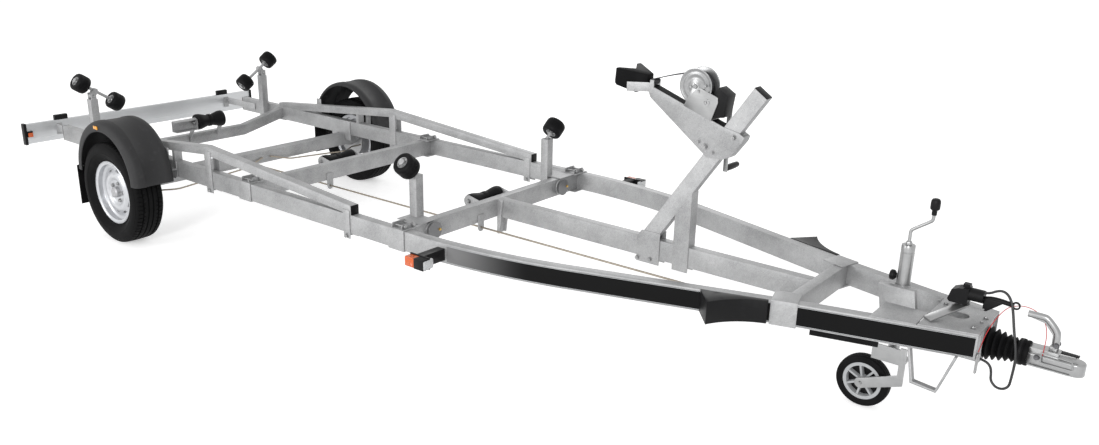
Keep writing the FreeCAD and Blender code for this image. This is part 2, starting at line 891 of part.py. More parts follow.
def mudguard():
    # One moulded arch: crown, rounded shoulder, deep outer skirt and a small inner lip.
    c = guard_corner
    r = guard_radius
    w = guard_wall
    y0 = guard_inner
    y1 = guard_outer
    outer = [(r - guard_inner_skirt, y0), (r - c / 2, y0), (r, y0 + c / 2), (r, y1 - c), (r - c / 3, y1 - c / 3),
             (r - c, y1), (r - guard_skirt, y1)]
    inner = [(r - guard_skirt, y1 - w), (r - c, y1 - w), (r - c / 3 - w, y1 - c / 3 - w), (r - w, y1 - c - w),
             (r - w, y0 + c / 2 + w / 2), (r - c / 2 - w / 2, y0 + w), (r - guard_inner_skirt, y0 + w)]
    centre = V(axle_x, 0, guard_centre_height)
    points = [centre + V(radius, y, 0) for radius, y in outer + inner]
    face = Part.Face(Part.makePolygon(points + [points[0]]))
    arch = face.revolve(centre, V(0, -1, 0), half_turn)
    return arch


def mud_flap():
    x = axle_x - guard_radius - flap_thickness
    return box(x, x + flap_thickness, guard_inner + guard_wall, guard_outer - guard_wall, flap_bottom,
               guard_centre_height + over)


def reflector():
    angle = math.radians(reflector_angle)
    radius = guard_radius - guard_skirt + reflector_height
    centre = V(axle_x + radius * math.cos(angle), guard_outer, guard_centre_height + radius * math.sin(angle))
    return box(centre.x - reflector_width / 2, centre.x + reflector_width / 2, guard_outer,
               guard_outer + reflector_depth, centre.z - reflector_height / 2,
               centre.z + reflector_height / 2)


def guard_arm(ahead):
    # A bar that carries the mudguard from the rail.
    x = axle_x + ahead
    height = guard_centre_height + math.sqrt(guard_radius ** 2 - ahead ** 2) - guard_inner_skirt
    low = rail_bottom + stay_width
    foot = box(x - stay_width / 2, x + stay_width / 2, rail_half_width, rail_half_width + stay_plate,
               rail_bottom, rail_top)
    face = guard_inner - seat
    bar = box(x - stay_width / 2, x + stay_width / 2, rail_half_width + stay_plate, face, low,
              low + stay_plate)
    rise = box(x - stay_width / 2, x + stay_width / 2, face - stay_plate, face, low, height)
    return fused([foot, bar, rise])


save("mudguards", pair(mudguard()))
save("mud_flaps", pair(mud_flap()))
save("rail_brackets", pair(axle_bracket()) + pair(board_arm()) + pair(guard_arm(stay_ahead))
     + pair(guard_arm(-stay_ahead)))


# Boat supports: posts, tilting cradles and rollers

ear_plate = 8.0
ear_rise = 42.0
pin_rise = 22.0
rod_above_pin = 38.0
cradle_shift = 30.0
roller_spacing = 268.0
collar_radius = 17.0
collar_length = 5.0
tongue_radius = 17.0
tongue_gap = 0.5
roller_crown = 12.0
stub_out = 5.0
stub_rise = 5.4
stub_root = 12.0
stub_reach = 74.0
post_block_height = 70.0


def square_post(x, y, top):
    half = post_size / 2
    w = post_wall
    body = box(x - half, x + half, y - half, y + half, rail_bottom, top)
    void = box(x - half + w, x + half - w, y - half + w, y + half - w, rail_bottom - over, top - w)
    return body.cut(void)


rear_post_place = rail_inner - post_size / 2
cradle_pin = V(axle_x + rear_post_ahead, rear_post_place, rear_post_top + pin_rise)
tilt = math.radians(cradle_tilt)
cradle_along = V(0, math.cos(tilt), math.sin(tilt))
cradle_up = V(0, -math.sin(tilt), math.cos(tilt))
cradle_middle = cradle_pin + cradle_up * rod_above_pin - cradle_along * cradle_shift


def rear_post():
    x = axle_x + rear_post_ahead
    half = post_size / 2
    post = square_post(x, rear_post_place, rear_post_top)
    pieces = [post]
    for x0 in (x - half, x + half - ear_plate):
        pieces.append(box(x0, x0 + ear_plate, rear_post_place - tongue_radius, rear_post_place + tongue_radius,
                          rear_post_top - over, rear_post_top + ear_rise))
    pieces.append(rod(V(x - half, rear_post_place, cradle_pin.z), V(x + half, rear_post_place, cradle_pin.z),
                      roller_rod_radius))
    return fused(pieces)


def front_post():
    x = axle_x + front_post_ahead
    post = square_post(x, front_post_place, front_post_top)
    start = stub_start() - front_along() * stub_root
    end = stub_start() + front_along() * (stub_reach + roller_length / 2 + collar_length)
    axle = rod(start, end, roller_rod_radius)
    inner_face = stub_start() + front_along() * (stub_reach - roller_length / 2 - end_gap)
    collar = rod(inner_face - front_along() * collar_length, inner_face, collar_radius)
    outer_face = stub_start() + front_along() * (stub_reach + roller_length / 2 + end_gap)
    nut = rod(outer_face, outer_face + front_along() * collar_length, collar_radius)
    beam_face = axle_x + front_beam_ahead - beam_width / 2
    middle = (rail_bottom + rail_top) / 2
    block = box(x + post_size / 2, beam_face, front_post_place - post_size / 2, front_post_place + post_size / 2,
                middle - post_block_height / 2, middle + post_block_height / 2)
    return fused([post, axle, collar, nut, block])


def front_along():
    angle = math.radians(front_roller_tilt)
    return V(0, math.cos(angle), math.sin(angle))


def stub_start():
    return V(axle_x + front_post_ahead, front_post_place + stub_out, front_post_top + stub_rise)


def roller(centre, along, radius, length, bore):
    # A rubber roller with rounded shoulders.
    half = length / 2
    c = roller_crown
    start = centre - along * half
    body = rod(start, start + along * length, radius)
    edges = [e for e in body.Edges if e.Closed and abs(e.Curve.Radius - radius) < seat]
    body = body.makeFillet(c, edges)
    return body.cut(rod(start - along * over, start + along * (length + over), bore))


def cradle():
    x = axle_x + rear_post_ahead
    half = post_size / 2 - ear_plate - tongue_gap
    low = V(x - half, cradle_pin.y, cradle_pin.z)
    high = low + cradle_up * rod_above_pin
    pieces = [rod(low, low + V(half + half, 0, 0), tongue_radius),
              rod(high, high + V(half + half, 0, 0), tongue_radius)]
    corners = [low - cradle_along * tongue_radius, low + cradle_along * tongue_radius,
               high + cradle_along * tongue_radius, high - cradle_along * tongue_radius]
    pieces.append(prism(corners, V(1, 0, 0), half + half))
    reach = roller_spacing / 2 + roller_length / 2 + end_gap + collar_length
    pieces.append(rod(cradle_middle - cradle_along * reach, cradle_middle + cradle_along * reach,
                      roller_rod_radius))
    for side in (-1, 1):
        centre = cradle_middle + cradle_along * (side * roller_spacing / 2)
        for end in (-1, 1):
            start = centre + cradle_along * (end * (roller_length / 2 + end_gap))
            pieces.append(rod(start, start + cradle_along * (end * collar_length), collar_radius))
    body = fused(pieces)
    bore = rod(low - V(over, 0, 0), low + V(half + half + over, 0, 0), roller_rod_radius + running_gap)
    return body.cut(bore)


bore_radius = roller_rod_radius + running_gap
posts = pair(rear_post()) + pair(front_post())
save("roller_posts", posts)
left_cradle = cradle()
save("cradle_left", [left_cradle])
save("cradle_right", [mirrored(left_cradle)])
for name, side in (("inner", -1), ("outer", 1)):
    centre = cradle_middle + cradle_along * (side * roller_spacing / 2)
    solid = roller(centre, cradle_along, roller_radius, roller_length, bore_radius)
    save("rear_roller_" + name + "_left", [solid])
    save("rear_roller_" + name + "_right", [mirrored(solid)])
front_centre = stub_start() + front_along() * stub_reach
front_roller = roller(front_centre, front_along(), roller_radius, roller_length, bore_radius)
save("front_roller_left", [front_roller])
save("front_roller_right", [mirrored(front_roller)])


# Keel rollers in their brackets

keel_roller_height = 495.0
keel_roller_behind = 72.0
rear_keel_ahead = -509.0
rear_keel_height = 530.0
rear_keel_radius = 51.0
rear_keel_length = 210.0
cheek_plate = 5.0
cheek_radius = 34.0
cheek_gap = 3.0
cheek_foot = 60.0
side_channel_length = 160.0
side_channel_depth = 60.0
side_channel_bottom = 482.0
side_channel_height = 75.0


def keel_roller(centre):
    half = keel_roller_length / 2
    r = keel_roller_radius
    waist = keel_roller_waist
    hole = keel_pin_radius + running_gap
    flat = keel_roller_length / 2 - cheek_radius
    profile = [(hole, -half), (r - roller_crown, -half), (r, -half + roller_crown), (r, -flat), (waist, 0),
               (r, flat), (r, half - roller_crown), (r - roller_crown, half), (hole, half)]
    return turned(profile, centre)


def keel_cheeks(centre, half_length, beam_face, low, high):
    # Two cheek plates from the roller's pin to the beam's face, joined by the pin and a back plate.
    pieces = []
    inner = half_length + cheek_gap
    r = cheek_radius
    for y0 in (inner, -inner - cheek_plate):
        start = V(centre.x, y0, centre.z)
        pieces.append(rod(start, start + V(0, cheek_plate, 0), r))
        outline = [(centre.x, centre.z + r), (beam_face, high), (beam_face, low), (centre.x, centre.z - r)]
        pieces.append(side_prism(outline, y0, y0 + cheek_plate))
    back = beam_face - cheek_plate if beam_face > centre.x else beam_face
    pieces.append(box(back, back + cheek_plate, -inner, inner, low, high - over))
    pieces.append(rod(V(centre.x, -inner - cheek_plate, centre.z), V(centre.x, inner + cheek_plate, centre.z),
                      keel_pin_radius))
    return fused(pieces)


def side_channel():
    # A channel that runs on from the rear roller's right cheek, open to the front.
    y1 = -rear_keel_length / 2 - cheek_gap - cheek_plate
    y0 = y1 - side_channel_length
    x0 = axle_x + rear_keel_ahead - side_channel_depth / 2
    z0 = side_channel_bottom
    z1 = z0 + side_channel_height
    w = cheek_plate
    body = box(x0, x0 + side_channel_depth, y0, y1 + w, z0, z1)
    return body.cut(box(x0 + w, x0 + side_channel_depth + over, y0 - over, y1, z0 + w, z1 - w))


middle_face = axle_x + middle_beam_ahead - beam_width / 2
front_face = axle_x + front_beam_ahead - beam_width / 2
rear_face = axle_x + rear_beam_ahead + beam_width / 2
middle_centre = V(middle_face - keel_roller_behind, 0, keel_roller_height)
front_roller_centre = V(front_face - keel_roller_behind, 0, keel_roller_height)
rear_centre = V(axle_x + rear_keel_ahead, 0, rear_keel_height)
rear_beam_top = rear_beam_end_top - rear_beam_drop
save("keel_roller_middle", [keel_roller(middle_centre)])
save("keel_roller_front", [keel_roller(front_roller_centre)])
save("keel_roller_rear", [roller(rear_centre, V(0, 1, 0), rear_keel_radius, rear_keel_length,
                                 keel_pin_radius + running_gap)])
save("keel_roller_brackets", [
    keel_cheeks(middle_centre, keel_roller_length / 2, middle_face, rail_top - cheek_foot, rail_top),
    keel_cheeks(front_roller_centre, keel_roller_length / 2, front_face, rail_top - cheek_foot, rail_top),
    fused([keel_cheeks(rear_centre, rear_keel_length / 2, rear_face, rear_beam_top - cheek_foot, rear_beam_top),
           side_channel()]),
])


# Winch head, winch, strap and bow stop, all placed from the top of the leaning post

head_plate = 5.0
head_gap = 0.3
head_half = mast_width / 2 + head_gap
head_places = ((-572.0, -34.0), (-552.0, -87.0), (-237.0, -319.0), (-166.0, -320.0), (-122.0, -303.0),
               (-65.0, -225.0), (-57.0, -202.0), (-88.0, -184.0), (-162.0, -170.0), (-528.0, -42.0))
front_web_places = ((-162.0, -318.0), (-122.0, -303.0), (-65.0, -225.0), (-57.0, -202.0), (-62.0, -200.0),
                    (-69.5, -222.0), (-125.0, -298.0), (-162.0, -313.0))
frame_places = ((-328.0, -15.0), (-293.0, -6.0), (-194.0, -42.0), (-192.0, -64.0))
frame_rear_behind = 363.0
frame_front_behind = 221.0
frame_ear_radius = 18.0
drum_behind = 311.0
drum_below = 6.0
drum_flange_radius = 82.0
drum_core_radius = 34.0
drum_half_width = 34.0
flange_plate = 4.0
shaft_radius = 10.0
gear_places = ((-198.0, 2.0), (-216.0, -135.0), (-162.0, -127.0), (-148.0, -28.0))
crank_behind = 195.0
crank_below = 97.0
crank_length = 306.0
crank_side = 80.0
crank_width = 26.0
crank_plate = 8.0
grip_length = 122.0
grip_radius = 15.0
frame_inner = drum_half_width + flange_plate + end_gap


def from_mast(places):
    # Side view places counted from the top of the post.
    return [(mast_top.x + x, mast_top.z + z) for x, z in places]


def head_top_at(x):
    # Height of the head's top edge at x.
    (x0, z0), (x1, z1) = from_mast((head_places[-1], head_places[-2]))
    return z0 + (z1 - z0) * (x - x0) / (x1 - x0)


def winch_head():
    # Two cheeks beside the post, joined by a web along the top and one round the front.
    outline = from_mast(head_places)
    pieces = [side_prism(outline, head_half, head_half + head_plate),
              side_prism(outline, -head_half - head_plate, -head_half)]
    tip_x, tip_z = outline[0]
    knee_x, knee_z = outline[-1]
    stop = outline[-2][0] - head_plate
    top = [(tip_x, tip_z), (knee_x, knee_z), (stop, head_top_at(stop)), (stop, head_top_at(stop) - head_plate),
           (knee_x, knee_z - head_plate), (tip_x, tip_z - head_plate)]
    pieces.append(side_prism(top, -head_half, head_half))
    pieces.append(side_prism(from_mast(front_web_places), -head_half, head_half))
    return fused(pieces)


drum_centre = V(mast_top.x - drum_behind, 0, mast_top.z - drum_below)
crank_centre = V(mast_top.x - crank_behind, 0, mast_top.z - crank_below)


def winch_frame():
    # Two cheeks on the head's top, with the holes of the shafts.
    x0 = mast_top.x - frame_rear_behind
    x1 = mast_top.x - frame_front_behind
    outline = [(x0, head_top_at(x0))] + from_mast(frame_places) + [(x1, head_top_at(x1))]
    pieces = []
    for y0 in (frame_inner, -frame_inner - flange_plate):
        pieces.append(side_prism(outline, y0, y0 + flange_plate))
        start = drum_centre + V(0, y0, 0)
        pieces.append(rod(start, start + V(0, flange_plate, 0), frame_ear_radius))
    base = [(x0, head_top_at(x0)), (x1, head_top_at(x1)), (x1, head_top_at(x1) + flange_plate),
            (x0, head_top_at(x0) + flange_plate)]
    pieces.append(side_prism(base, -frame_inner, frame_inner))
    body = fused(pieces)
    reach = V(0, frame_inner + over, 0)
    body = body.cut(rod(drum_centre - reach, drum_centre + reach, shaft_radius + running_gap))
    return body.cut(rod(crank_centre, crank_centre + reach, shaft_radius + end_gap))


def winch_drum():
    w = drum_half_width
    f = flange_plate
    r = drum_flange_radius
    c = drum_core_radius
    s = shaft_radius
    end = w + f + f + end_gap + f
    profile = [(0, -end), (s, -end), (s, -w - f), (r, -w - f), (r, -w), (c, -w), (c, w), (r, w), (r, w + f),
               (s, w + f), (s, end), (0, end)]
    return turned(profile, drum_centre)


def gear_case():
    # Between the frame's cheeks, with the bore that the crank's shaft stands in.
    half = frame_inner - seat
    body = side_prism(from_mast(gear_places), -half, half)
    bore = rod(crank_centre + V(0, half - over, 0), crank_centre + V(0, half + over, 0),
               shaft_radius + running_gap)
    return body.cut(bore)


def winch_crank():
    top = crank_centre + V(0, crank_side, 0)
    half = crank_width / 2
    foot = top - V(0, 0, crank_length)
    plate = V(0, crank_plate, 0)
    arm = box(top.x - half, top.x + half, crank_side, crank_side + crank_plate, foot.z, top.z)
    eye = rod(top, top + plate, half)
    low_eye = rod(foot, foot + plate, half)
    shaft = rod(crank_centre + V(0, frame_inner - over, 0), top, shaft_radius)
    grip = rod(foot + plate, foot + V(0, grip_length, 0), grip_radius)
    return fused([arm, eye, low_eye, shaft, grip])


bow_side_places = ((-572.0, 14.0), (-702.0, 41.0), (-714.0, -31.0), (-618.0, -71.0), (-592.0, -59.0),
                   (-572.0, -9.0))
bow_plan_places = ((-572.0, 25.0), (-694.0, 105.0), (-712.0, 92.0), (-657.0, 0.0), (-712.0, -92.0),
                   (-694.0, -105.0), (-572.0, -25.0))
bow_bracket_places = ((-542.0, 25.3), (-571.8, 25.3), (-652.1, 77.9), (-649.4, 82.1), (-569.0, 30.3),
                      (-542.0, 30.3))
bow_bracket_low = 64.0
bow_bracket_high = 21.0
bow_half_width = 110.0
strap_pin_behind = 546.0
strap_pin_below = 15.0
strap_pin_radius = 4.0
strap_ear_width = 20.0
strap_ear_drop = 32.0
strap_width = 48.0
strap_thickness = 3.0
strap_loop_radius = 8.0
strap_roll_radius = 60.0
strap_pin = V(mast_top.x - strap_pin_behind, 0, mast_top.z - strap_pin_below)


def plan_from_mast(places):
    return [(mast_top.x + x, y) for x, y in places]


def bow_stop():
    # A rubber block with a wide V to the rear, highest at the tips of its two wings.
    sides = side_prism(from_mast(bow_side_places), -bow_half_width, bow_half_width)
    low = mast_top.z - overall_length
    return sides.common(plan_prism(plan_from_mast(bow_plan_places), low, mast_top.z + overall_length))


def bow_bracket():
    # Two bent tongues from the head's cheeks along the block's wings, and the strap's pin.
    low = mast_top.z - bow_bracket_low
    high = mast_top.z - bow_bracket_high
    pieces = pair(plan_prism(plan_from_mast(bow_bracket_places), low, high))
    half = strap_ear_width / 2
    for y0 in (head_half, -head_half - head_plate):
        pieces.append(box(strap_pin.x - half, strap_pin.x + half, y0, y0 + head_plate,
                          strap_pin.z - strap_ear_drop, strap_pin.z + strap_loop_radius))
    reach = V(0, head_half + head_plate, 0)
    pieces.append(rod(strap_pin - reach, strap_pin + reach, strap_pin_radius))
    return pieces


def winch_strap():
    # A loop on the pin, a straight run, and the turns on the drum.
    half = V(0, strap_width / 2, 0)
    way = drum_centre - strap_pin
    angle = math.atan2(way.z, way.x) + math.asin((strap_roll_radius - strap_loop_radius) / way.Length)
    up = V(-math.sin(angle), 0, math.cos(angle))
    t = strap_thickness
    corners = [strap_pin + up * strap_loop_radius, drum_centre + up * strap_roll_radius,
               drum_centre + up * (strap_roll_radius - t), strap_pin + up * (strap_loop_radius - t)]
    run = prism([c - half for c in corners], V(0, 1, 0), strap_width)
    loop = ring(strap_loop_radius, strap_pin_radius + seat, strap_pin - half, strap_pin + half)
    side = V(0, drum_half_width - end_gap, 0)
    roll = ring(strap_roll_radius, drum_core_radius + seat, drum_centre - side, drum_centre + side)
    return fused([run, loop, roll])


save("winch_head", [fused([winch_head()] + bow_bracket())])
save("winch_frame", [winch_frame()])
save("winch_drum", [winch_drum()])
save("gear_case", [gear_case()])
save("winch_crank", [winch_crank()])
save("bow_stop", [bow_stop()])
save("winch_strap", [winch_strap()])


# Jockey wheel: bracket, outer tube, sliding leg with wheel arm, wheel, crank

bracket_behind = 82.0
bracket_beyond = 66.0
bracket_bottom = 440.0
bracket_lean = 25.0
bracket_top = 590.0
bracket_plate = 5.0
bracket_side = 57.0
foot_behind = 40.0
foot_beyond = 130.0
leg_gap = 0.3
jockey_travel_up = 60.0
jockey_stop_gap = 12.0
arm_side = 36.0
fork_top = 268.0
fork_plate = 10.0
side_plate_behind = 75.0
side_plate_low = 248.0
side_plate_high = 318.0
strut_beyond = 42.0
strut_width = 26.0
strut_top = 326.0
arm_front_low = 158.0
arm_front_high = 210.0
fork_pin_radius = 12.0
fork_nut_radius = 20.0
nut_height = 11.0
arm_plate = 8.0
arm_depth = 48.0
tread_width = 50.0
crank_rod_radius = 7.0
crank_rise = 46.0
crank_reach = 80.0
crank_lift = 60.0
crank_end_rise = 29.0
knob_radius = 19.0
knob_height = 62.0
jockey_cap_height = 26.0
jockey_axle_radius = 8.0
jockey_rim_radius = 86.0


def jockey_bracket():
    # A folded plate beside the outer tube, with a foot on the right rail and a collar round the tube.
    x0 = jockey_x - bracket_behind
    x1 = jockey_x + bracket_beyond
    w = bracket_plate
    side = bracket_side
    lean_out = bracket_lean
    wall = side_prism([(x0, bracket_top), (x1, bracket_top), (x1 + lean_out, bracket_bottom),
                       (x0 + lean_out, bracket_bottom)], -side, -side + w)
    top = box(x0, x1, -side, -jockey_tube_radius, bracket_top - w, bracket_top)
    front = side_prism([(x1 - w, bracket_top), (x1, bracket_top), (x1 + lean_out, bracket_bottom),
                        (x1 + lean_out - w, bracket_bottom)], -side, -jockey_tube_radius)
    rear = jockey_x - foot_behind
    end = jockey_x + foot_beyond
    foot = plan_prism([(rear, -side), (end, -side), (end, -rail_place(end, 0)[0].y),
                       (rear, -rail_place(rear, 0)[0].y)], rail_top, rail_top + w)
    tube = rod(V(jockey_x, 0, rail_top - over), V(jockey_x, 0, bracket_top + over), jockey_tube_radius + seat)
    collar = rod(V(jockey_x, 0, rail_top), V(jockey_x, 0, bracket_top), jockey_tube_radius + w + seat)
    return fused([wall, top, front, foot, collar]).cut(tube)


def jockey_tube():
    # The outer tube with its cap and the crank that stands on it.
    x = jockey_x
    r = jockey_tube_radius
    body = ring(r, r - jockey_tube_wall, V(x, 0, jockey_tube_bottom), V(x, 0, jockey_tube_top))
    lid = rod(V(x, 0, jockey_tube_top), V(x, 0, jockey_tube_top + crank_rod_radius), r)
    neck = rod(V(x, 0, jockey_tube_top), V(x, 0, jockey_tube_top + jockey_cap_height), r / 2)
    z = jockey_tube_top + jockey_cap_height / 2
    low = z + crank_rise
    high = low + crank_lift
    points = [V(x, 0, z), V(x, 0, low), V(x + crank_reach, 0, high),
              V(x + crank_reach, 0, high + crank_end_rise)]
    bar = pipe(points, [over, over], crank_rod_radius)
    top = points[-1]
    knob = rod(top - V(0, 0, crank_rod_radius), top + V(0, 0, knob_height), knob_radius)
    return fused([body, lid, neck, bar, knob])


def jockey_leg():
    # The inner tube with the pin and nut that the fork turns on.
    x = jockey_x
    top = jockey_tube_top - jockey_travel_up - jockey_stop_gap
    r = jockey_tube_radius - jockey_tube_wall - leg_gap
    base = fork_top + seat
    low = fork_top - fork_plate
    tube = rod(V(x, 0, base), V(x, 0, top), r)
    pin = rod(V(x, 0, low - nut_height), V(x, 0, base), fork_pin_radius)
    nut = rod(V(x, 0, low - nut_height), V(x, 0, low - seat), fork_nut_radius)
    return fused([tube, pin, nut])


def jockey_fork():
    # A plate that turns under the leg, the strut and arm beside the wheel, and the wheel's axle.
    x = jockey_x
    wheel = V(jockey_x - jockey_trail, 0, jockey_wheel_radius)
    side = -arm_side - arm_plate
    low = fork_top - fork_plate
    half = arm_depth / 2
    front = x + strut_beyond + strut_width
    plate = box(x - half, front, side, half, low, fork_top)
    bore = rod(V(x, 0, low - over), V(x, 0, fork_top + over), fork_pin_radius + running_gap)
    cheek = box(x - side_plate_behind, front, side, -arm_side, side_plate_low, side_plate_high)
    strut = box(x + strut_beyond, front, side, -arm_side, arm_front_low, strut_top)
    arm = side_prism([(wheel.x, wheel.z - half), (front, arm_front_low), (front, arm_front_high),
                      (wheel.x, wheel.z + half)], side, -arm_side)
    eye = rod(wheel + V(0, side, 0), wheel - V(0, arm_side, 0), half)
    axle = rod(wheel - V(0, arm_side, 0), wheel + V(0, tread_width / 2 + arm_plate, 0), jockey_axle_radius)
    return fused([plate.cut(bore), cheek, strut, arm, eye, axle])


def jockey_wheel_solid(profile):
    centre = V(jockey_x - jockey_trail, 0, jockey_wheel_radius)
    return turned(profile, centre)


def jockey_tyre():
    half = tread_width / 2
    r = jockey_wheel_radius
    inner = jockey_rim_radius
    c = roller_crown
    return jockey_wheel_solid([(inner, -half), (r - c, -half), (r, -half + c), (r, half - c), (r - c, half),
                               (inner, half)])


def jockey_rim():
    half = tread_width / 2
    outer = jockey_rim_radius
    hole = jockey_axle_radius + running_gap
    t = bracket_plate
    boss = knob_radius
    return jockey_wheel_solid([(hole, -half - t), (boss, -half - t), (boss, -t), (outer - t, -t),
                               (outer - t, -half), (outer, -half), (outer, half), (outer - t, half),
                               (outer - t, t), (boss, t), (boss, half + t), (hole, half + t)])


save("jockey_bracket", [jockey_bracket()])
save("jockey_tube", [jockey_tube()])
save("jockey_leg", [jockey_leg()])
save("jockey_fork", [jockey_fork()])
save("jockey_tyre", [jockey_tyre()])
save("jockey_rim", [jockey_rim()])


# Nose: overrun housing, bellows, coupling, lever, strap, damper

housing_length = 215.0
housing_plate = 6.0
housing_hole_behind = 145.0
housing_hole_radius = 34.0
housing_side_gap = 29.0
bellows_length = 115.0
bellows_rear_radius = 68.0
bellows_front_radius = 46.0
bellows_folds = 4
bellows_fold_depth = 10.0
bellows_lip = 8.0
draw_tube_radius = 25.0
nose_collar_length = 43.0
nose_collar_radius = 52.0
head_half_width = 33.0
head_body_top = 474.0
head_body_bottom = 404.0
head_round = 8.0
ball_height = 424.0
housing_x = nose_x - housing_length
handle_width = 26.0
handle_thickness = 12.0


def overrun_housing():
    # Cast body between the rails' noses, with a flat plate bolted on both rails.
    x0 = housing_x
    x1 = nose_x
    w = housing_plate
    y0 = rail_place(x0, 0)[0].y
    y1 = rail_place(x1 - seat, 0)[0].y
    plate = plan_prism([(x0, -y0), (x1, -y1), (x1, y1), (x0, y0)], rail_top, rail_top + w)
    hole_start = nose_x - housing_hole_behind
    r = housing_hole_radius
    hole = box(hole_start, hole_start + r, -r, r, rail_top - over, rail_top + over)
    end1 = rod(V(hole_start, 0, rail_top - over), V(hole_start, 0, rail_top + over), r)
    end2 = rod(V(hole_start + r, 0, rail_top - over), V(hole_start + r, 0, rail_top + over), r)
    plate = plate.cut(fused([hole, end1, end2]))
    half = rail_place(x1 - seat, rail_width)[0].y - housing_side_gap
    low = draw_axis_height - half
    body = box(x0 + over, x1, -half, half, low, rail_top - r)
    web = box(x1 - over, x1, -half, half, rail_top - r, rail_top)
    rear_web = box(x0 + over, x0 + over + w, -half, half, rail_top - r, rail_top)
    return fused([plate, body, web, rear_web])


def bellows():
    x0 = nose_x
    x1 = nose_x + bellows_length
    count = bellows_folds * 2
    step = (x1 - x0) / count
    inner = draw_tube_radius + seat
    points = [V(x0, 0, draw_axis_height + inner)]
    for i in range(count + 1):
        radius = bellows_rear_radius + (bellows_front_radius - bellows_rear_radius) * i / count
        if i % 2:
            radius -= bellows_fold_depth
        points.append(V(x0 + step * i, 0, draw_axis_height + radius))
    end = x1 + nose_collar_length - seat
    points.append(V(x1 + bellows_lip, 0, draw_axis_height + bellows_front_radius))
    points.append(V(x1 + bellows_lip, 0, draw_axis_height + nose_collar_radius))
    points.append(V(end, 0, draw_axis_height + nose_collar_radius))
    points.append(V(end, 0, draw_axis_height + inner))
    face = Part.Face(Part.makePolygon(points + [points[0]]))
    return face.revolve(V(x0, 0, draw_axis_height), V(1, 0, 0), full_turn)


def coupling_head():
    x1 = nose_x + bellows_length + nose_collar_length
    ball = V(axle_x + ball_ahead, 0, ball_height)
    draw = rod(V(nose_x, 0, draw_axis_height), V(x1, 0, draw_axis_height), draw_tube_radius)
    cup = ball_radius + socket_wall
    h = head_half_width
    body_outline = [(x1, -h), (ball.x, -cup), (ball.x, cup), (x1, h)]
    body = plan_prism(body_outline, head_body_bottom, head_body_top - over)
    nose = rod(V(ball.x, 0, head_body_bottom), V(ball.x, 0, head_body_top - over), cup)
    neck = box(x1, nose_x + handle_base_beyond + over, -handle_width, handle_width, head_body_top - over,
               head_body_top)
    shell = fused([body, nose])
    top_edges = [e for e in shell.Edges if e.BoundBox.ZMin > head_body_top - over - seat]
    shell = shell.makeFillet(head_round, top_edges)
    solid = fused([draw, shell, neck])
    socket_bore = rod(V(ball.x, 0, head_body_bottom - over), ball, ball_radius + seat)
    dome = Part.makeSphere(ball_radius + seat, ball)
    return solid.cut(fused([socket_bore, dome]))


def coupling_handle():
    # A bent lever from the head's top, up and back over the bellows.
    half = handle_width / 2
    t = handle_thickness
    base = nose_x + handle_base_beyond
    points = [V(base, 0, head_body_top), V(base, 0, head_body_top + handle_rise),
              V(base - handle_back, 0, head_body_top + handle_rise + handle_step),
              V(base - handle_back - handle_reach, 0, head_body_top + handle_rise + handle_step)]
    side = []
    for p in points:
        side.append((p.x, p.z))
    upper = [(base + t, head_body_top), (base + t, head_body_top + handle_rise + t / 2),
             (base - handle_back + t / 2, head_body_top + handle_rise + handle_step + t),
             (base - handle_back - handle_reach, head_body_top + handle_rise + handle_step + t)]
    return side_prism(side + upper[::-1], -half, half)


handle_base_beyond = 240.0
handle_rise = 60.0
handle_step = 56.0
handle_back = 48.0
handle_reach = 66.0
lever_width = 46.0
lever_plate = 8.0
lever_start_behind = 200.0
lever_start_side = 140.0
lever_end_behind = 100.0
lever_end_height = 567.0
grip_rear_behind = 33.0
grip_front_beyond = 82.0
grip_height = 613.0
grip_half_height = 16.0
grip_half_width = 10.0
grip_tip_half_width = 4.0
grip_tip_length = 40.0
grip_eye_radius = 10.0
strap_bar = 10.0
strap_width_half = 15.0
strap_rear_behind = 249.0
strap_front_behind = 58.0
strap_step = 30.0
strap_run = 104.0
strap_low = 251.0
damper_radius = 16.0
damper_rear_behind = 610.0
damper_front_behind = 350.0


def hand_lever():
    # A flat bar from the right rail up to the centre line, with a tongue that ends in the grip.
    start = V(nose_x - lever_start_behind, -lever_start_side, rail_top + housing_plate + seat)
    end = V(nose_x - lever_end_behind, 0, lever_end_height)
    along = (end - start).normalize()
    across = V(0, 0, 1).cross(along).normalize()
    thick = along.cross(across).normalize()
    run = along * (end - start).Length
    corner = start - across * (lever_width / 2)
    far = corner + across * lever_width
    bar = prism([corner, far, far + run, corner + run], thick, lever_plate)
    x1 = nose_x - grip_rear_behind
    tongue = box(end.x - over, x1 + over, -grip_half_width, grip_half_width, lever_end_height,
                 lever_end_height + lever_plate)
    tip = V(nose_x + grip_front_beyond, 0, grip_height)
    r = grip_half_height
    neck_x = tip.x - grip_tip_length
    outline = [(x1, lever_end_height), (x1 + over, lever_end_height), (neck_x, grip_height - r),
               (neck_x, grip_height + r), (x1, grip_height + r)]
    handle = side_prism(outline, -grip_half_width, grip_half_width)
    thin = grip_tip_half_width
    neck = box(neck_x, tip.x, -thin, thin, tip.z - r, tip.z + r)
    eye = rod(tip - V(0, thin, 0), tip + V(0, thin, 0), r)
    hole = rod(tip - V(0, over, 0), tip + V(0, over, 0), grip_eye_radius)
    return fused([bar, tongue, handle, neck, eye]).cut(hole)


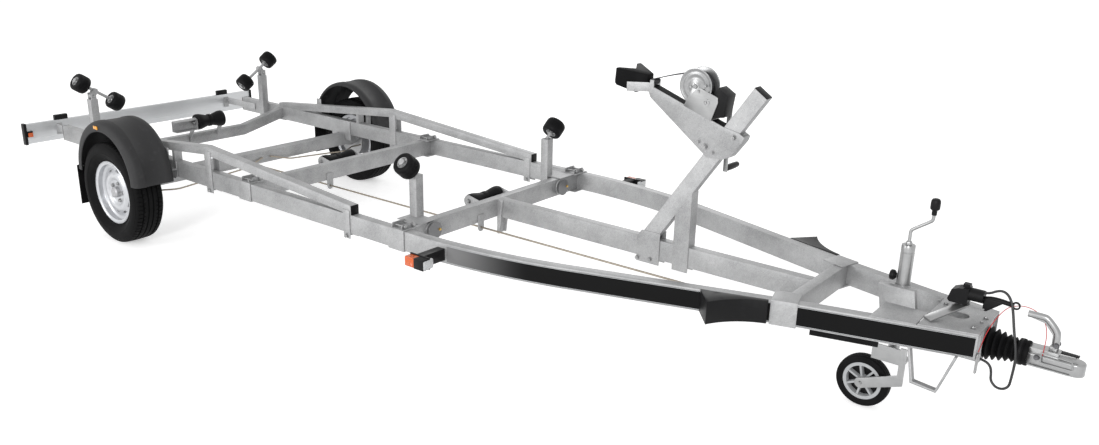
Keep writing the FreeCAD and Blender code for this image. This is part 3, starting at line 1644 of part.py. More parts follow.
def grab_strap():
    # A flat strap bent to a trapezoid under the right rail's nose.
    rear = nose_x - strap_rear_behind
    front = nose_x - strap_front_behind
    t = strap_bar
    outer = [(rear, rail_bottom), (rear + strap_step, strap_low),
             (rear + strap_step + strap_run, strap_low - t), (front, rail_bottom)]
    inner = [(rear + t, rail_bottom), (rear + strap_step + t, strap_low + t),
             (rear + strap_step + strap_run - t / 2, strap_low), (front - t, rail_bottom)]
    side = (rail_place(rear, rail_width)[0].y + rail_place(front, 0)[0].y) / 2
    return side_prism(outer + inner[::-1], -side - strap_width_half, -side + strap_width_half)


def damper():
    x0 = nose_x - damper_rear_behind
    x1 = nose_x - damper_front_behind
    y0 = -rail_place(x0, rail_width / 2)[0].y
    y1 = -rail_place(x1, rail_width / 2)[0].y
    z = rail_bottom - damper_radius - seat
    return rod(V(x0, y0, z), V(x1, y1, z), damper_radius)


plug_radius = 26.0
plug_height = 617.0
plug_rear_behind = 90.0
plug_front_behind = 35.0
plug_holder_half = 27.0
plug_lid_height = 14.0
holder_places_shares = ((0.0, 0.15), (0.16, 0.78), (0.46, 0.92), (1.0, 1.0), (1.0, 0.0), (0.12, 0.0))
holder_rear_behind = 166.0
plug_cable_radius = 5.0
plug_cable_route = (
    (-35.0, -8.0, 637.0), (-14.0, -9.0, 642.0), (6.0, -11.0, 657.0), (29.0, -13.0, 665.0),
    (52.0, -18.0, 656.0), (70.0, -26.0, 631.0), (84.0, -36.0, 590.0), (95.0, -48.0, 549.0),
    (108.0, -63.0, 510.0), (121.0, -74.0, 468.0), (128.0, -79.0, 424.0), (127.0, -80.0, 382.0),
    (125.0, -79.0, 345.0), (122.0, -77.0, 312.0), (102.0, -74.0, 292.0), (75.0, -71.0, 290.5),
    (52.0, -66.0, 310.0), (49.0, -62.0, 340.0), (43.0, -61.0, 365.0), (24.0, -59.0, 381.0),
    (0.0, -58.0, 384.0),
)
breakaway_radius = 1.5
breakaway_route = (
    (4.0, -128.0, 440.0), (9.0, -124.0, 470.0), (14.0, -112.0, 507.0), (24.0, -93.0, 545.0),
    (38.0, -69.0, 579.0), (52.0, -43.0, 601.0), (66.0, -16.0, 611.0), (94.0, 12.0, 613.5),
    (121.0, 21.0, 612.0), (150.0, 22.0, 604.0), (177.0, 18.5, 586.0), (197.0, 6.0, 558.0),
    (207.0, -13.0, 526.0), (209.0, -27.0, 491.0), (208.0, -30.0, 454.0),
)
hook_wire = 3.5
hook_height = 92.0
hook_width = 26.0


def plug():
    # A round plug held in a moulded block on the hand lever's tongue.
    x0 = nose_x - holder_rear_behind
    x1 = nose_x - plug_rear_behind
    z0 = lever_end_height + lever_plate + seat
    z1 = plug_height + plug_radius
    outline = [(x0 + (x1 - x0) * a, z0 + (z1 - z0) * b) for a, b in holder_places_shares]
    block = side_prism(outline, -plug_holder_half, plug_holder_half)
    body = rod(V(x1, 0, plug_height), V(nose_x - plug_front_behind, 0, plug_height), plug_radius)
    lid = box(x1 - plug_radius, x1, -plug_radius / 2, plug_radius / 2, z1, z1 + plug_lid_height)
    return fused([block, body, lid])


def cord(route, radius):
    points = [V(nose_x + x, y, z) for x, y, z in route]
    radii = cord_radii(points)
    print("cord radii", [round(r) for r in radii])
    return pipe(points, radii, radius)


def safety_hook():
    # An oval wire ring on the right rail's nose that the breakaway cable ends in.
    end_x, end_y, end_z = breakaway_route[0]
    x = nose_x + end_x
    low = end_z - hook_height
    r = hook_width / 2 - hook_wire
    top_centre = V(x, end_y, end_z - hook_wire - r - hook_wire)
    low_centre = V(x, end_y, low + hook_wire + r)
    ring_top = Part.makeTorus(r, hook_wire, top_centre, V(1, 0, 0))
    ring_low = Part.makeTorus(r, hook_wire, low_centre, V(1, 0, 0))
    half_top = ring_top.common(box(x - over, x + over, end_y - hook_width, end_y + hook_width,
                                   top_centre.z, end_z + over))
    half_low = ring_low.common(box(x - over, x + over, end_y - hook_width, end_y + hook_width,
                                   low - over, low_centre.z))
    sides = [rod(V(x, end_y + side * r, low_centre.z), V(x, end_y + side * r, top_centre.z), hook_wire)
             for side in (-1, 1)]
    return fused([half_top, half_low] + sides)


save("overrun_housing", [overrun_housing()])
save("bellows", [bellows()])
save("coupling_head", [coupling_head()])
save("coupling_handle", [coupling_handle()])
save("hand_lever", [hand_lever()])
save("grab_strap", [grab_strap()])
save("damper", [damper()])
save("plug", [plug()])
save("plug_cable", [cord(plug_cable_route, plug_cable_radius)])
save("breakaway_cable", [cord(breakaway_route, breakaway_radius)])


# Wheel chocks, front marker lamps, amber lenses

chock_ahead = 3747.0
chock_length = 285.0
chock_corner = 55.0
chock_width = 130.0
chock_bottom = 415.0
chock_height = 100.0
chock_radius = 330.0
chock_bite_ahead = 301.7
chock_bite_out = 349.2
lamp_rear_ahead = 2470.0
lamp_split_ahead = 2530.0
lamp_front_ahead = 2590.0
lamp_face_out = 180.0
lamp_thickness = 40.0
lamp_bottom_height = 438.0
lamp_side_height = 50.0
lamp_arm_rear_ahead = 2500.0
lamp_arm_front_ahead = 2545.0
lamp_arm_rise = 17.0
lamp_arm_height = 58.0
lamp_back = 8.0
lamp_rim = 3.0


def chock():
    # A wedge whose curved side takes a tyre, hung on the rail's outer face.
    z0 = chock_bottom
    z1 = z0 + chock_height
    block = plan_prism([(0, 0), (chock_corner, chock_width), (chock_length, chock_width), (chock_length, 0)],
                       z0, z1)
    bite = rod(V(chock_bite_ahead, chock_bite_out, z0 - over), V(chock_bite_ahead, chock_bite_out, z1 + over),
               chock_radius)
    return on_rail(block.cut(bite), axle_x + chock_ahead)


def front_lamp():
    # A rubber arm straight out from the rail that carries a marker lamp at its end.
    face = rail_half_width + lamp_face_out
    inner = face - lamp_thickness
    z0 = lamp_bottom_height
    z1 = z0 + lamp_side_height
    low = rail_bottom + lamp_arm_rise
    arm = box(axle_x + lamp_arm_rear_ahead, axle_x + lamp_arm_front_ahead, rail_inner, inner, low,
              low + lamp_arm_height)
    arm = arm.cut(rail_band(0, rail_width + over, rail_bottom - over, rail_top))
    back = box(axle_x + lamp_rear_ahead - lamp_rim, axle_x + lamp_front_ahead, inner - lamp_back, inner - seat,
               z0 - lamp_rim, z1 + lamp_rim)
    body = box(axle_x + lamp_split_ahead + seat, axle_x + lamp_front_ahead, inner - lamp_back, face, z0, z1)
    return fused([arm, back, body])


def front_amber():
    face = rail_half_width + lamp_face_out
    return box(axle_x + lamp_rear_ahead, axle_x + lamp_split_ahead, face - lamp_thickness, face,
               lamp_bottom_height, lamp_bottom_height + lamp_side_height)


save("wheel_chocks", pair(chock()))
save("lamp_housings", pair(rear_lamp()) + pair(board_marker()) + pair(board_clip()) + pair(front_lamp()))
save("amber_lenses", pair(front_amber()) + pair(board_marker_lens()) + pair(reflector()))


# Hangers under the beams, brake rod and brake cables

hanger_plate = 6.0
hanger_width = 44.0
gusset_top_width = 40.0
gusset_bottom_width = 16.0
gusset_bottom = 316.0
hanger_places = (middle_beam_ahead, front_beam_ahead, nose_beam_ahead)
rod_radius = 5.0
rod_rear_height = 372.0
rod_front_height = 397.0
rod_front_side = 160.0
cable_radius = 5.0
cable_low = 296.0
cable_out = 40.0
cable_end_ahead = 95.0
cable_turn_side = 180.0
cable_turn_inset = 120.0
cable_first_radius = 200.0
cable_second_radius = 120.0
rod_start = V(axle_x + axle_beam_ahead + axle_beam_size / 2 + axle_bracket_plate, -rod_rear_side,
              rod_rear_height)
rod_end = V(axle_x + nose_beam_ahead + beam_width / 2 + hanger_plate + rod_radius, -rod_front_side,
            rod_front_height)


def rod_point(x):
    return rod_start + (rod_end - rod_start) * ((x - rod_start.x) / (rod_end.x - rod_start.x))


def hanger(ahead):
    # A round-ended plate on the beam's front face with a hole that the brake rod goes through.
    x0 = axle_x + ahead + beam_width / 2
    centre = rod_point(x0)
    half = hanger_width / 2
    plate = box(x0, x0 + hanger_plate, centre.y - half, centre.y + half, centre.z, rail_bottom + hanger_width)
    end = rod(centre, centre + V(hanger_plate, 0, 0), half)
    hole = rod(rod_point(x0 - over), rod_point(x0 + over + over), rod_radius + seat)
    return fused([plate, end]).cut(hole)


def gusset():
    # A tapered channel astride the keel beam, in front of the front beam.
    x0 = axle_x + front_beam_ahead + beam_width / 2
    y1 = keel_beam_half + hanger_plate
    y0 = -y1
    outline = [(x0, rail_top), (x0 + gusset_top_width, rail_top),
               (x0 + gusset_bottom_width, gusset_bottom), (x0, gusset_bottom)]
    side_a = side_prism(outline, y0, y0 + hanger_plate)
    side_b = side_prism(outline, y1 - hanger_plate, y1)
    back = box(x0, x0 + hanger_plate, y0, y1, gusset_bottom, rail_bottom)
    return fused([side_a, side_b, back])


def brake_cable():
    # From the plate on the axle beam out to the backing plate.
    x0 = axle_x + axle_beam_ahead + axle_beam_size / 2 + axle_bracket_plate + cable_radius + seat
    end_y = backplate_plane - seat
    points = [V(x0, cable_start_side, rod_rear_height),
              V(x0 + over, cable_turn_side, rod_rear_height - cable_out),
              V(x0 + over, arm_inner - cable_turn_inset, cable_low),
              V(axle_x + cable_end_ahead, arm_inner - over, cable_low),
              V(axle_x + cable_end_ahead, end_y, cable_low)]
    return pipe(points, [cable_first_radius, cable_second_radius, cable_out], cable_radius)


save("rail_clamps", clamps + [hanger(place) for place in hanger_places] + [gusset()])
save("brake_linkage", [rod(rod_start + V(seat, 0, 0), rod_end, rod_radius), safety_hook()] + pair(brake_cable()))
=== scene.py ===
import json
import math

import bmesh
import bpy
from mathutils import Matrix, Vector


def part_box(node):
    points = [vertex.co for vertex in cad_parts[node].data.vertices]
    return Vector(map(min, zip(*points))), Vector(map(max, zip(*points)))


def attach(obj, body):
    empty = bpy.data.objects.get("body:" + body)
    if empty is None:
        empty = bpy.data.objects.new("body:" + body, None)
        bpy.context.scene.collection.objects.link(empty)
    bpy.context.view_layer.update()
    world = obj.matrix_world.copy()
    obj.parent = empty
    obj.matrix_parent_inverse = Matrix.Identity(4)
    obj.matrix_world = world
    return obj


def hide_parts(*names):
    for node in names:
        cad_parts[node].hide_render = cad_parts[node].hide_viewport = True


# Looks of a boat trailer, in metres: X to the coupling, Y to the left, Z up.

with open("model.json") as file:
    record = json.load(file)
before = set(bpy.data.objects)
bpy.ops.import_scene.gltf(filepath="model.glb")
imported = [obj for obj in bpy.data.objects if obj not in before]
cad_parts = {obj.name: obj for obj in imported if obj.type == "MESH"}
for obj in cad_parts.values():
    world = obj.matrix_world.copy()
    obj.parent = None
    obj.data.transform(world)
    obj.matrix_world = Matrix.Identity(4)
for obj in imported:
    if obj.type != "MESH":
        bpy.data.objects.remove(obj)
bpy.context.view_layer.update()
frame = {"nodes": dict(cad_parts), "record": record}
nodes = frame["nodes"]
bpy.ops.object.select_all(action="DESELECT")


def added(name, data):
    thing = bpy.data.objects.new(name, data)
    bpy.context.scene.collection.objects.link(thing)
    return thing


# Camera

IMAGE_WIDTH = 1099
FOCAL_PIXELS = 960.9
SENSOR = 36.0
CAMERA_PLACE = (3.6671, -3.8003, 2.037)
CAMERA_TURN = math.radians(37.925)
CAMERA_DOWN = math.radians(71.72)
CAMERA_ROLL = math.radians(1.274)


def place_camera():
    data = bpy.data.cameras.new("photo_camera")
    data.sensor_width = SENSOR
    data.lens = FOCAL_PIXELS * SENSOR / IMAGE_WIDTH
    camera = added("photo_camera", data)
    turn = Matrix.Rotation(CAMERA_TURN, 4, "Z")
    down = Matrix.Rotation(CAMERA_DOWN, 4, "X")
    roll = Matrix.Rotation(CAMERA_ROLL, 4, "Z")
    camera.matrix_world = Matrix.Translation(CAMERA_PLACE) @ turn @ down @ roll
    bpy.context.scene.camera = camera


place_camera()


# Finishes: each is a material whose nodes are written as sums and products of fields

class Field:
    """A number or colour that varies over a surface."""

    def __init__(self, work, socket):
        self.work = work
        self.socket = socket

    def math(self, operation, first, second=0.0):
        return self.work.node("ShaderNodeMath", {"operation": operation}, {0: first, 1: second})

    def __add__(self, other):
        return self.math("ADD", self, other)

    def __radd__(self, other):
        return self.math("ADD", other, self)

    def __sub__(self, other):
        return self.math("SUBTRACT", self, other)

    def __rsub__(self, other):
        return self.math("SUBTRACT", other, self)

    def __mul__(self, other):
        return self.math("MULTIPLY", self, other)

    def __rmul__(self, other):
        return self.math("MULTIPLY", other, self)

    def __gt__(self, other):
        return self.math("GREATER_THAN", self, other)

    def __lt__(self, other):
        return self.math("LESS_THAN", self, other)

    def sine(self):
        return self.math("SINE", self)

    def size(self):
        return self.math("ABSOLUTE", self)

    def smooth(self, low, high):
        settings = {"interpolation_type": "SMOOTHSTEP"}
        return self.work.node("ShaderNodeMapRange", settings, {0: self, 1: low, 2: high})


class NodeWork:
    """Adds nodes to one node tree and links them."""

    def __init__(self, tree):
        self.tree = tree

    def node(self, kind, settings=None, inputs=None, output=0):
        node = self.tree.nodes.new(kind)
        for name, value in (settings or {}).items():
            setattr(node, name, value)
        for name, value in (inputs or {}).items():
            self.feed(node.inputs[name], value)
        return Field(self, node.outputs[output] if len(node.outputs) else None)

    def feed(self, socket, value):
        if isinstance(value, Field):
            self.tree.links.new(value.socket, socket)
        elif hasattr(value, "__len__") and socket.type == "RGBA":
            socket.default_value = (*value, 1.0)
        else:
            socket.default_value = value


class Finish(NodeWork):
    """A material with its shader, and ways to make the fields that feed it."""

    def __init__(self, name):
        self.material = bpy.data.materials.new(name)
        self.material.use_nodes = True
        super().__init__(self.material.node_tree)
        self.shader = self.tree.nodes["Principled BSDF"]
        self.place = self.node("ShaderNodeTexCoord", output="Object")

    def set(self, **values):
        for name, value in values.items():
            self.feed(self.shader.inputs[name.replace("_", " ")], value)

    def noise(self, scale, detail=3.0, place=None):
        inputs = {"Vector": place or self.place, "Scale": scale, "Detail": detail}
        return self.node("ShaderNodeTexNoise", None, inputs)

    def cells(self, scale, output="Color", place=None, feature="F1"):
        inputs = {"Vector": place or self.place, "Scale": scale}
        return self.node("ShaderNodeTexVoronoi", {"feature": feature}, inputs, output)

    def axis(self, letter):
        return self.node("ShaderNodeSeparateXYZ", None, {0: self.place}, letter)

    def stretch(self, x, y, z):
        return self.node("ShaderNodeMapping", None, {"Vector": self.place, "Scale": (x, y, z)})

    def mix(self, share, first, second):
        return self.node("ShaderNodeMix", {"data_type": "RGBA"}, {0: share, 6: first, 7: second}, 2)

    def bump(self, height, distance):
        inputs = {"Height": height, "Distance": distance, "Strength": 1.0}
        self.set(Normal=self.node("ShaderNodeBump", None, inputs))


def toned(colour, factor, added=0.0):
    return tuple(c * factor + added for c in colour)


def galvanised(name):
    # Hot-dip zinc: pale crystals of a centimetre, cloudy patches and a fine grain.
    light = (0.53, 0.532, 0.535)
    dark = (0.2, 0.202, 0.206)
    f = Finish(name)
    warp = f.node("ShaderNodeVectorMath", {"operation": "ADD"}, {0: f.place, 1: f.noise(60.0)})
    crystal = f.cells(95.0, place=warp)
    cloud = f.noise(7.0, 4.0)
    grain = f.noise(420.0, 2.0)
    tone = crystal * 0.75 + cloud * 0.8 + grain * 0.35 - 0.45
    f.set(Base_Color=f.mix(tone, dark, light), Metallic=0.5)
    f.set(Roughness=0.4 + crystal * 0.1 + cloud * 0.12)
    f.bump(grain * 0.5 + crystal * 0.5, 0.00012)
    return f.material


def zinc_plate(name, light=(0.46, 0.46, 0.458), dark=(0.25, 0.255, 0.26)):
    # Bright plating with faint rolling marks.
    f = Finish(name)
    cloud = f.noise(18.0, 4.0)
    marks = f.noise(180.0, 3.0, place=f.stretch(0.12, 1.0, 1.0))
    f.set(Base_Color=f.mix(cloud * 0.7 + marks * 0.3, dark, light), Metallic=0.9)
    f.set(Roughness=0.22 + cloud * 0.12 + marks * 0.08)
    f.bump(marks, 0.00008)
    return f.material


def moulded(name, colour=(0.006, 0.006, 0.0065), rough=0.4, grain=900.0, depth=0.0001):
    # Moulded plastic with a fine grain and faint scuffs.
    f = Finish(name)
    grain_field = f.noise(grain, 2.0)
    scuff = f.noise(23.0, 5.0).smooth(0.55, 0.75)
    f.set(Base_Color=f.mix(scuff * 0.5, colour, toned(colour, 1.6, 0.003)))
    f.set(Roughness=rough + scuff * 0.12 + grain_field * 0.06)
    f.set(Specular_IOR_Level=0.16)
    f.bump(grain_field, depth)
    return f.material


def rubber(name, colour=(0.0035, 0.0035, 0.0038), rough=0.6):
    f = Finish(name)
    dust = f.noise(14.0, 5.0)
    grain = f.noise(700.0, 3.0)
    f.set(Base_Color=f.mix(dust.smooth(0.45, 0.8), colour, toned(colour, 2.0, 0.0015)))
    f.set(Roughness=rough + dust * 0.12, Specular_IOR_Level=0.1)
    f.bump(grain + dust * 0.4, 0.00015)
    return f.material


def lens(name, colour, deep):
    # Clear coloured plastic over a faceted back.
    f = Finish(name)
    facet = f.cells(260.0, "Distance", feature="DISTANCE_TO_EDGE")
    f.set(Base_Color=f.mix(facet.smooth(0.0, 0.12), deep, colour), Roughness=0.12)
    f.set(Coat_Weight=0.3)
    f.bump(facet.smooth(0.0, 0.1), 0.0004)
    return f.material


def cast_steel(name, light=(0.52, 0.52, 0.53), dark=(0.3, 0.3, 0.31)):
    f = Finish(name)
    lumps = f.noise(90.0, 4.0)
    sand = f.noise(800.0, 2.0)
    f.set(Base_Color=f.mix(lumps, dark, light), Metallic=0.75, Roughness=0.45 + lumps * 0.15)
    f.bump(sand + lumps, 0.00025)
    return f.material


def lacquer(name):
    # Silver lacquer with fine flakes and a little road dust.
    silver = (0.56, 0.57, 0.59)
    f = Finish(name)
    flake = f.cells(2500.0)
    dust = f.noise(30.0, 5.0)
    dull = dust.smooth(0.4, 0.8) * 0.5 + flake * 0.2
    f.set(Base_Color=f.mix(dull, silver, toned(silver, 0.72)))
    f.set(Metallic=0.55, Roughness=0.3 + dust * 0.15, Coat_Weight=0.3)
    f.bump(flake, 0.00002)
    return f.material


def aluminium(name):
    # Extruded profile with drawing lines along its length.
    f = Finish(name)
    lines = f.noise(300.0, 3.0, place=f.stretch(1.0, 0.004, 1.0))
    cloud = f.noise(5.0, 3.0)
    f.set(Base_Color=f.mix(lines * 0.5 + cloud * 0.5, (0.5, 0.51, 0.52), (0.66, 0.67, 0.68)))
    f.set(Metallic=0.8, Roughness=0.34 + lines * 0.1)
    f.bump(lines, 0.00008)
    return f.material


def sheath(name, colour):
    f = Finish(name)
    wear = f.noise(60.0, 3.0)
    f.set(Base_Color=f.mix(wear, colour, toned(colour, 0.6)), Roughness=0.38 + wear * 0.1)
    f.bump(wear, 0.0001)
    return f.material


def webbing(name):
    # Woven strap: ribs across and threads along.
    thread = (0.012, 0.012, 0.014)
    f = Finish(name)
    ribs = (f.axis("X") * 2400.0).sine() * (f.axis("Y") * 2600.0).sine()
    f.set(Base_Color=f.mix(ribs.smooth(-1.0, 1.0), thread, toned(thread, 2.5, 0.02)))
    f.set(Roughness=0.75 + ribs * 0.05)
    f.bump(ribs, 0.0004)
    return f.material


def brake_rod(name):
    # Brownish passivated rod and cables; the hook at the nose is plain zinc.
    hook_start = 2.85
    f = Finish(name)
    cloud = f.noise(40.0, 4.0)
    rod = f.mix(cloud, (0.24, 0.21, 0.17), (0.42, 0.37, 0.31))
    hook = f.mix(cloud, (0.26, 0.26, 0.265), (0.46, 0.46, 0.46))
    f.set(Base_Color=f.mix(f.axis("X") > hook_start, rod, hook))
    f.set(Metallic=0.85, Roughness=0.32 + cloud * 0.12)
    f.bump(cloud, 0.00008)
    return f.material


def stripe_film(name):
    # Film from grey at its rear end to black, with a thin pale line along each edge.
    middle, line_start, line_end = 0.462, 0.0395, 0.0412
    grey_until, black_from = 0.52, 1.12
    f = Finish(name)
    from_middle = (f.axis("Z") - middle).size()
    pale_line = (from_middle > line_start) * (from_middle < line_end)
    wear = f.noise(40.0, 4.0)
    black = f.axis("X").smooth(grey_until, black_from)
    film = f.mix(black, (0.26, 0.26, 0.263), (0.002, 0.002, 0.0022))
    f.set(Base_Color=f.mix(pale_line, film, (0.55, 0.56, 0.57)))
    f.set(Roughness=0.34 + wear * 0.06, Specular_IOR_Level=0.12)
    return f.material


GALVANISED = galvanised("galvanised_steel")
ZINC = zinc_plate("zinc_plate")
BLACK_PLASTIC = moulded("black_plastic")
GUARD_PLASTIC = moulded("guard_plastic", (0.034, 0.034, 0.035), 0.52, 700.0, 0.00012)
BLACK_RUBBER = rubber("black_rubber")
ROLLER_RUBBER = rubber("roller_rubber", (0.005, 0.005, 0.0055), 0.42)
GREY_PLASTIC = moulded("grey_plastic", (0.42, 0.43, 0.44), 0.4, 500.0, 0.00008)
TYRE_RUBBER = rubber("tyre_rubber", (0.0028, 0.0028, 0.003), 0.62)
RED_LENS = lens("red_lens", (0.5, 0.01, 0.008), (0.16, 0.002, 0.002))
AMBER_LENS = lens("amber_lens", (0.74, 0.12, 0.004), (0.44, 0.05, 0.002))
REFLECTOR = lens("amber_reflector", (0.95, 0.42, 0.01), (0.62, 0.2, 0.003))
CLEAR_LENS = lens("clear_lens", (0.72, 0.73, 0.74), (0.36, 0.37, 0.38))
BRASS = zinc_plate("yellow_plate", (0.72, 0.5, 0.16), (0.5, 0.33, 0.09))
CAST = cast_steel("cast_steel")
DULL_ZINC = zinc_plate("dull_zinc", (0.24, 0.24, 0.245), (0.12, 0.122, 0.125))
DARK_STEEL = cast_steel("dark_steel", (0.2, 0.2, 0.21), (0.08, 0.08, 0.085))
BRIGHT_ZINC = zinc_plate("bright_zinc", (0.38, 0.38, 0.38), (0.17, 0.175, 0.18))
SILVER = lacquer("silver_lacquer")
ALUMINIUM = aluminium("drawn_aluminium")
RED_SHEATH = sheath("red_sheath", (0.62, 0.01, 0.015))
BLACK_SHEATH = sheath("black_sheath", (0.014, 0.014, 0.015))
WEBBING = webbing("woven_strap")
STRIPE_FILM = stripe_film("stripe_film")
ROD_ZINC = brake_rod("brake_rod")

SLOT_FINISH = {
    "galvanised": GALVANISED,
    "zinc": ZINC,
    "black_plastic": BLACK_PLASTIC,
    "black_rubber": BLACK_RUBBER,
    "tyre": TYRE_RUBBER,
    "red_lens": RED_LENS,
    "amber_lens": AMBER_LENS,
    "cast": CAST,
    "silver_rim": SILVER,
    "white_board": ALUMINIUM,
    "red_cable": RED_SHEATH,
    "webbing": WEBBING,
}

RECORD = frame["record"]
SLOT_OF = {part["node"]: part["material_slot"] for part in RECORD["subparts"]}
BODIES = RECORD["behaviour"]["bodies"]
BODY_OF = {node: body for body, members in BODIES.items() for node in members}


def dress(piece, finish):
    piece.data.materials.clear()
    piece.data.materials.append(finish)


def dress_nodes():
    for node, slot in SLOT_OF.items():
        dress(nodes[node], SLOT_FINISH[slot])
    dress(nodes["brake_linkage"], ROD_ZINC)


dress_nodes()


# Shaping: pieces start as primitives and are worked on in edit mode

FORWARD = (1.0, 0.0, 0.0)
BACKWARD = (-1.0, 0.0, 0.0)
LEFT = (0.0, 1.0, 0.0)
RIGHT = (0.0, -1.0, 0.0)
UP = (0.0, 0.0, 1.0)
FULL_TURN = 2 * math.pi
HALF_TURN = math.pi
WELD = 0.000005
SMOOTH_ANGLE = 35.0


def only(piece):
    bpy.ops.object.select_all(action="DESELECT")
    piece.select_set(True)
    bpy.context.view_layer.objects.active = piece


def settle(piece):
    # The place and turn of the object go into its mesh.
    only(piece)
    bpy.ops.object.transform_apply(location=True, rotation=True, scale=True)
    return piece


def modify(piece, kind, **settings):
    only(piece)
    modifier = piece.modifiers.new(kind.lower(), kind)
    for name, value in settings.items():
        setattr(modifier, name, value)
    bpy.ops.object.modifier_apply(modifier=modifier.name)
    return piece


def rounded(piece, edge, segments=2, angle=30.0):
    return modify(piece, "BEVEL", width=edge, segments=segments, limit_method="ANGLE",
                  angle_limit=math.radians(angle))


def into_edit(piece, kind="FACE"):
    only(piece)
    bpy.ops.object.mode_set(mode="EDIT")
    bpy.ops.mesh.select_mode(type=kind)
    bpy.ops.mesh.select_all(action="DESELECT")


def select_whole():
    bpy.ops.mesh.select_all(action="SELECT")


def out_of_edit():
    bpy.ops.object.mode_set(mode="OBJECT")


def pick(piece, wanted):
    # Chooses the faces whose centre and normal are wanted.
    shape = bmesh.from_edit_mesh(piece.data)
    for face in shape.faces:
        if wanted(face.calc_center_median(), face.normal):
            face.select_set(True)
    bmesh.update_edit_mesh(piece.data)


def drawn(points):
    # One vertex, extruded from point to point. Stays in edit mode with the last point chosen.
    bpy.ops.object.select_all(action="DESELECT")
    bpy.ops.mesh.primitive_plane_add(size=0.01)
    piece = bpy.context.object
    bpy.ops.object.mode_set(mode="EDIT")
    bpy.ops.mesh.select_mode(type="VERT")
    select_whole()
    bpy.ops.mesh.merge(type="CENTER")
    bpy.ops.transform.translate(value=points[0])
    for first, second in zip(points, points[1:]):
        pull([b - a for a, b in zip(first, second)])
    return piece


def pull(step):
    bpy.ops.mesh.extrude_region_move(TRANSFORM_OT_translate={"value": step})


def closed_up():
    # Welds what was drawn and turns its faces outwards.
    select_whole()
    bpy.ops.mesh.remove_doubles(threshold=WELD)
    bpy.ops.mesh.normals_make_consistent(inside=False)
    out_of_edit()


def spun(points, centre, axis, steps, angle=FULL_TURN):
    piece = drawn(points)
    select_whole()
    bpy.ops.mesh.spin(steps=steps, angle=angle, center=centre, axis=axis)
    closed_up()
    return piece


def turned(profile, place, along, steps=40):
    # Profile: radius and height pairs, turned about the line through place.
    axis = Vector(along).normalized()
    out = axis.orthogonal().normalized()
    points = [Vector(place) + out * radius + axis * height for radius, height in profile]
    return spun(points, place, axis, steps)


def closed(section):
    return [*section, section[0]]


def ring(inner, outer, low, high):
    return closed([(inner, low), (outer, low), (outer, high), (inner, high)])


def mirrored_section(section):
    # A middle point on the mirror line is kept once.
    back = section[-2::-1] if section[-1][1] == 0.0 else section[::-1]
    return list(section) + [(radius, -height) for radius, height in back]


def bar(start, end, radius, steps=20, edge=0.001):
    length = (Vector(end) - Vector(start)).length
    profile = ((0.0, 0.0), (radius - edge, 0.0), (radius, edge), (radius, length - edge),
               (radius - edge, length), (0.0, length))
    return turned(profile, start, Vector(end) - Vector(start), steps)


def band(points, step, thickness):
    # A line pulled sideways into a band with a thickness.
    piece = drawn(points)
    select_whole()
    pull(step)
    closed_up()
    return modify(piece, "SOLIDIFY", thickness=thickness, offset=0.0)


def cut_plate(outline, thickness, edge, segments=2):
    # A flat outline with a thickness, like sheet cut to shape.
    piece = drawn(outline)
    select_whole()
    bpy.ops.mesh.edge_face_add()
    pull(thickness)
    closed_up()
    return rounded(piece, edge, segments)


def side_plate(outline, y0, y1, edge, segments=2):
    return cut_plate([(x, y0, z) for x, z in outline], (0.0, y1 - y0, 0.0), edge, segments)


def block(low, high, edge, segments=2):
    bpy.ops.object.select_all(action="DESELECT")
    size = [b - a for a, b in zip(low, high)]
    middle = [(a + b) / 2 for a, b in zip(low, high)]
    bpy.ops.mesh.primitive_cube_add(size=1.0, location=middle, scale=size)
    return rounded(settle(bpy.context.object), edge, segments)


def round_line(name, points, radius, sides, steps, order=3):
    line = bpy.data.curves.new(name, "CURVE")
    line.dimensions = "3D"
    line.bevel_depth = radius
    line.bevel_resolution = sides
    line.resolution_u = steps
    line.use_fill_caps = True
    spline = line.splines.new("NURBS")
    spline.points.add(len(points) - 1)
    for point, place in zip(spline.points, points):
        point.co = (*place, 1.0)
    spline.order_u = order
    spline.use_endpoint_u = True
    return added(name, line)


def bent_wire(points, radius, order=3):
    # Round bar along a smooth line, as a mesh.
    only(round_line("bent_wire", points, radius, 5, 6, order))
    bpy.ops.object.convert(target="MESH")
    return bpy.context.object


def joined(pieces):
    for piece in pieces:
        settle(piece)
    only(pieces[0])
    for piece in pieces[1:]:
        piece.select_set(True)
    bpy.ops.object.join()
    return bpy.context.object


def twin(piece):
    copy = piece.copy()
    copy.data = piece.data.copy()
    bpy.context.scene.collection.objects.link(copy)
    return copy


def mirrored(piece):
    # A copy on the other side of the centre line.
    copy = twin(piece)
    copy.scale = (1.0, -1.0, 1.0)
    settle(copy)
    into_edit(copy)
    select_whole()
    bpy.ops.mesh.normals_make_consistent(inside=False)
    out_of_edit()
    return copy


def both(piece):
    return joined([piece, mirrored(piece)])


def spread(master, rows):
    # Copies of one small piece, each at a place and along a direction.
    copies = []
    for place, along in rows:
        copy = twin(master)
        turn = Vector(along).to_track_quat("Z", "Y").to_matrix().to_4x4()
        copy.matrix_world = Matrix.Translation(place) @ turn
        copies.append(copy)
    bpy.data.objects.remove(master)
    return joined(copies)


def two_sided(rows):
    return list(rows) + [((x, -y, z), (a, -b, c)) for (x, y, z), (a, b, c) in rows]


def finished(piece, name, finish=ZINC, slot="zinc", body="chassis", replaced=None,
             smooth=SMOOTH_ANGLE):
    settle(piece)
    piece.name = name
    piece.data.name = name
    dress(piece, finish)
    bpy.ops.object.shade_smooth_by_angle(angle=math.radians(smooth))
    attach(piece, body)
    if replaced:
        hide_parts(replaced)


def made(shape, *looks, **ties):
    # A piece that has the name of the function that shapes it.
    finished(shape(), shape.__name__, *looks, **ties)


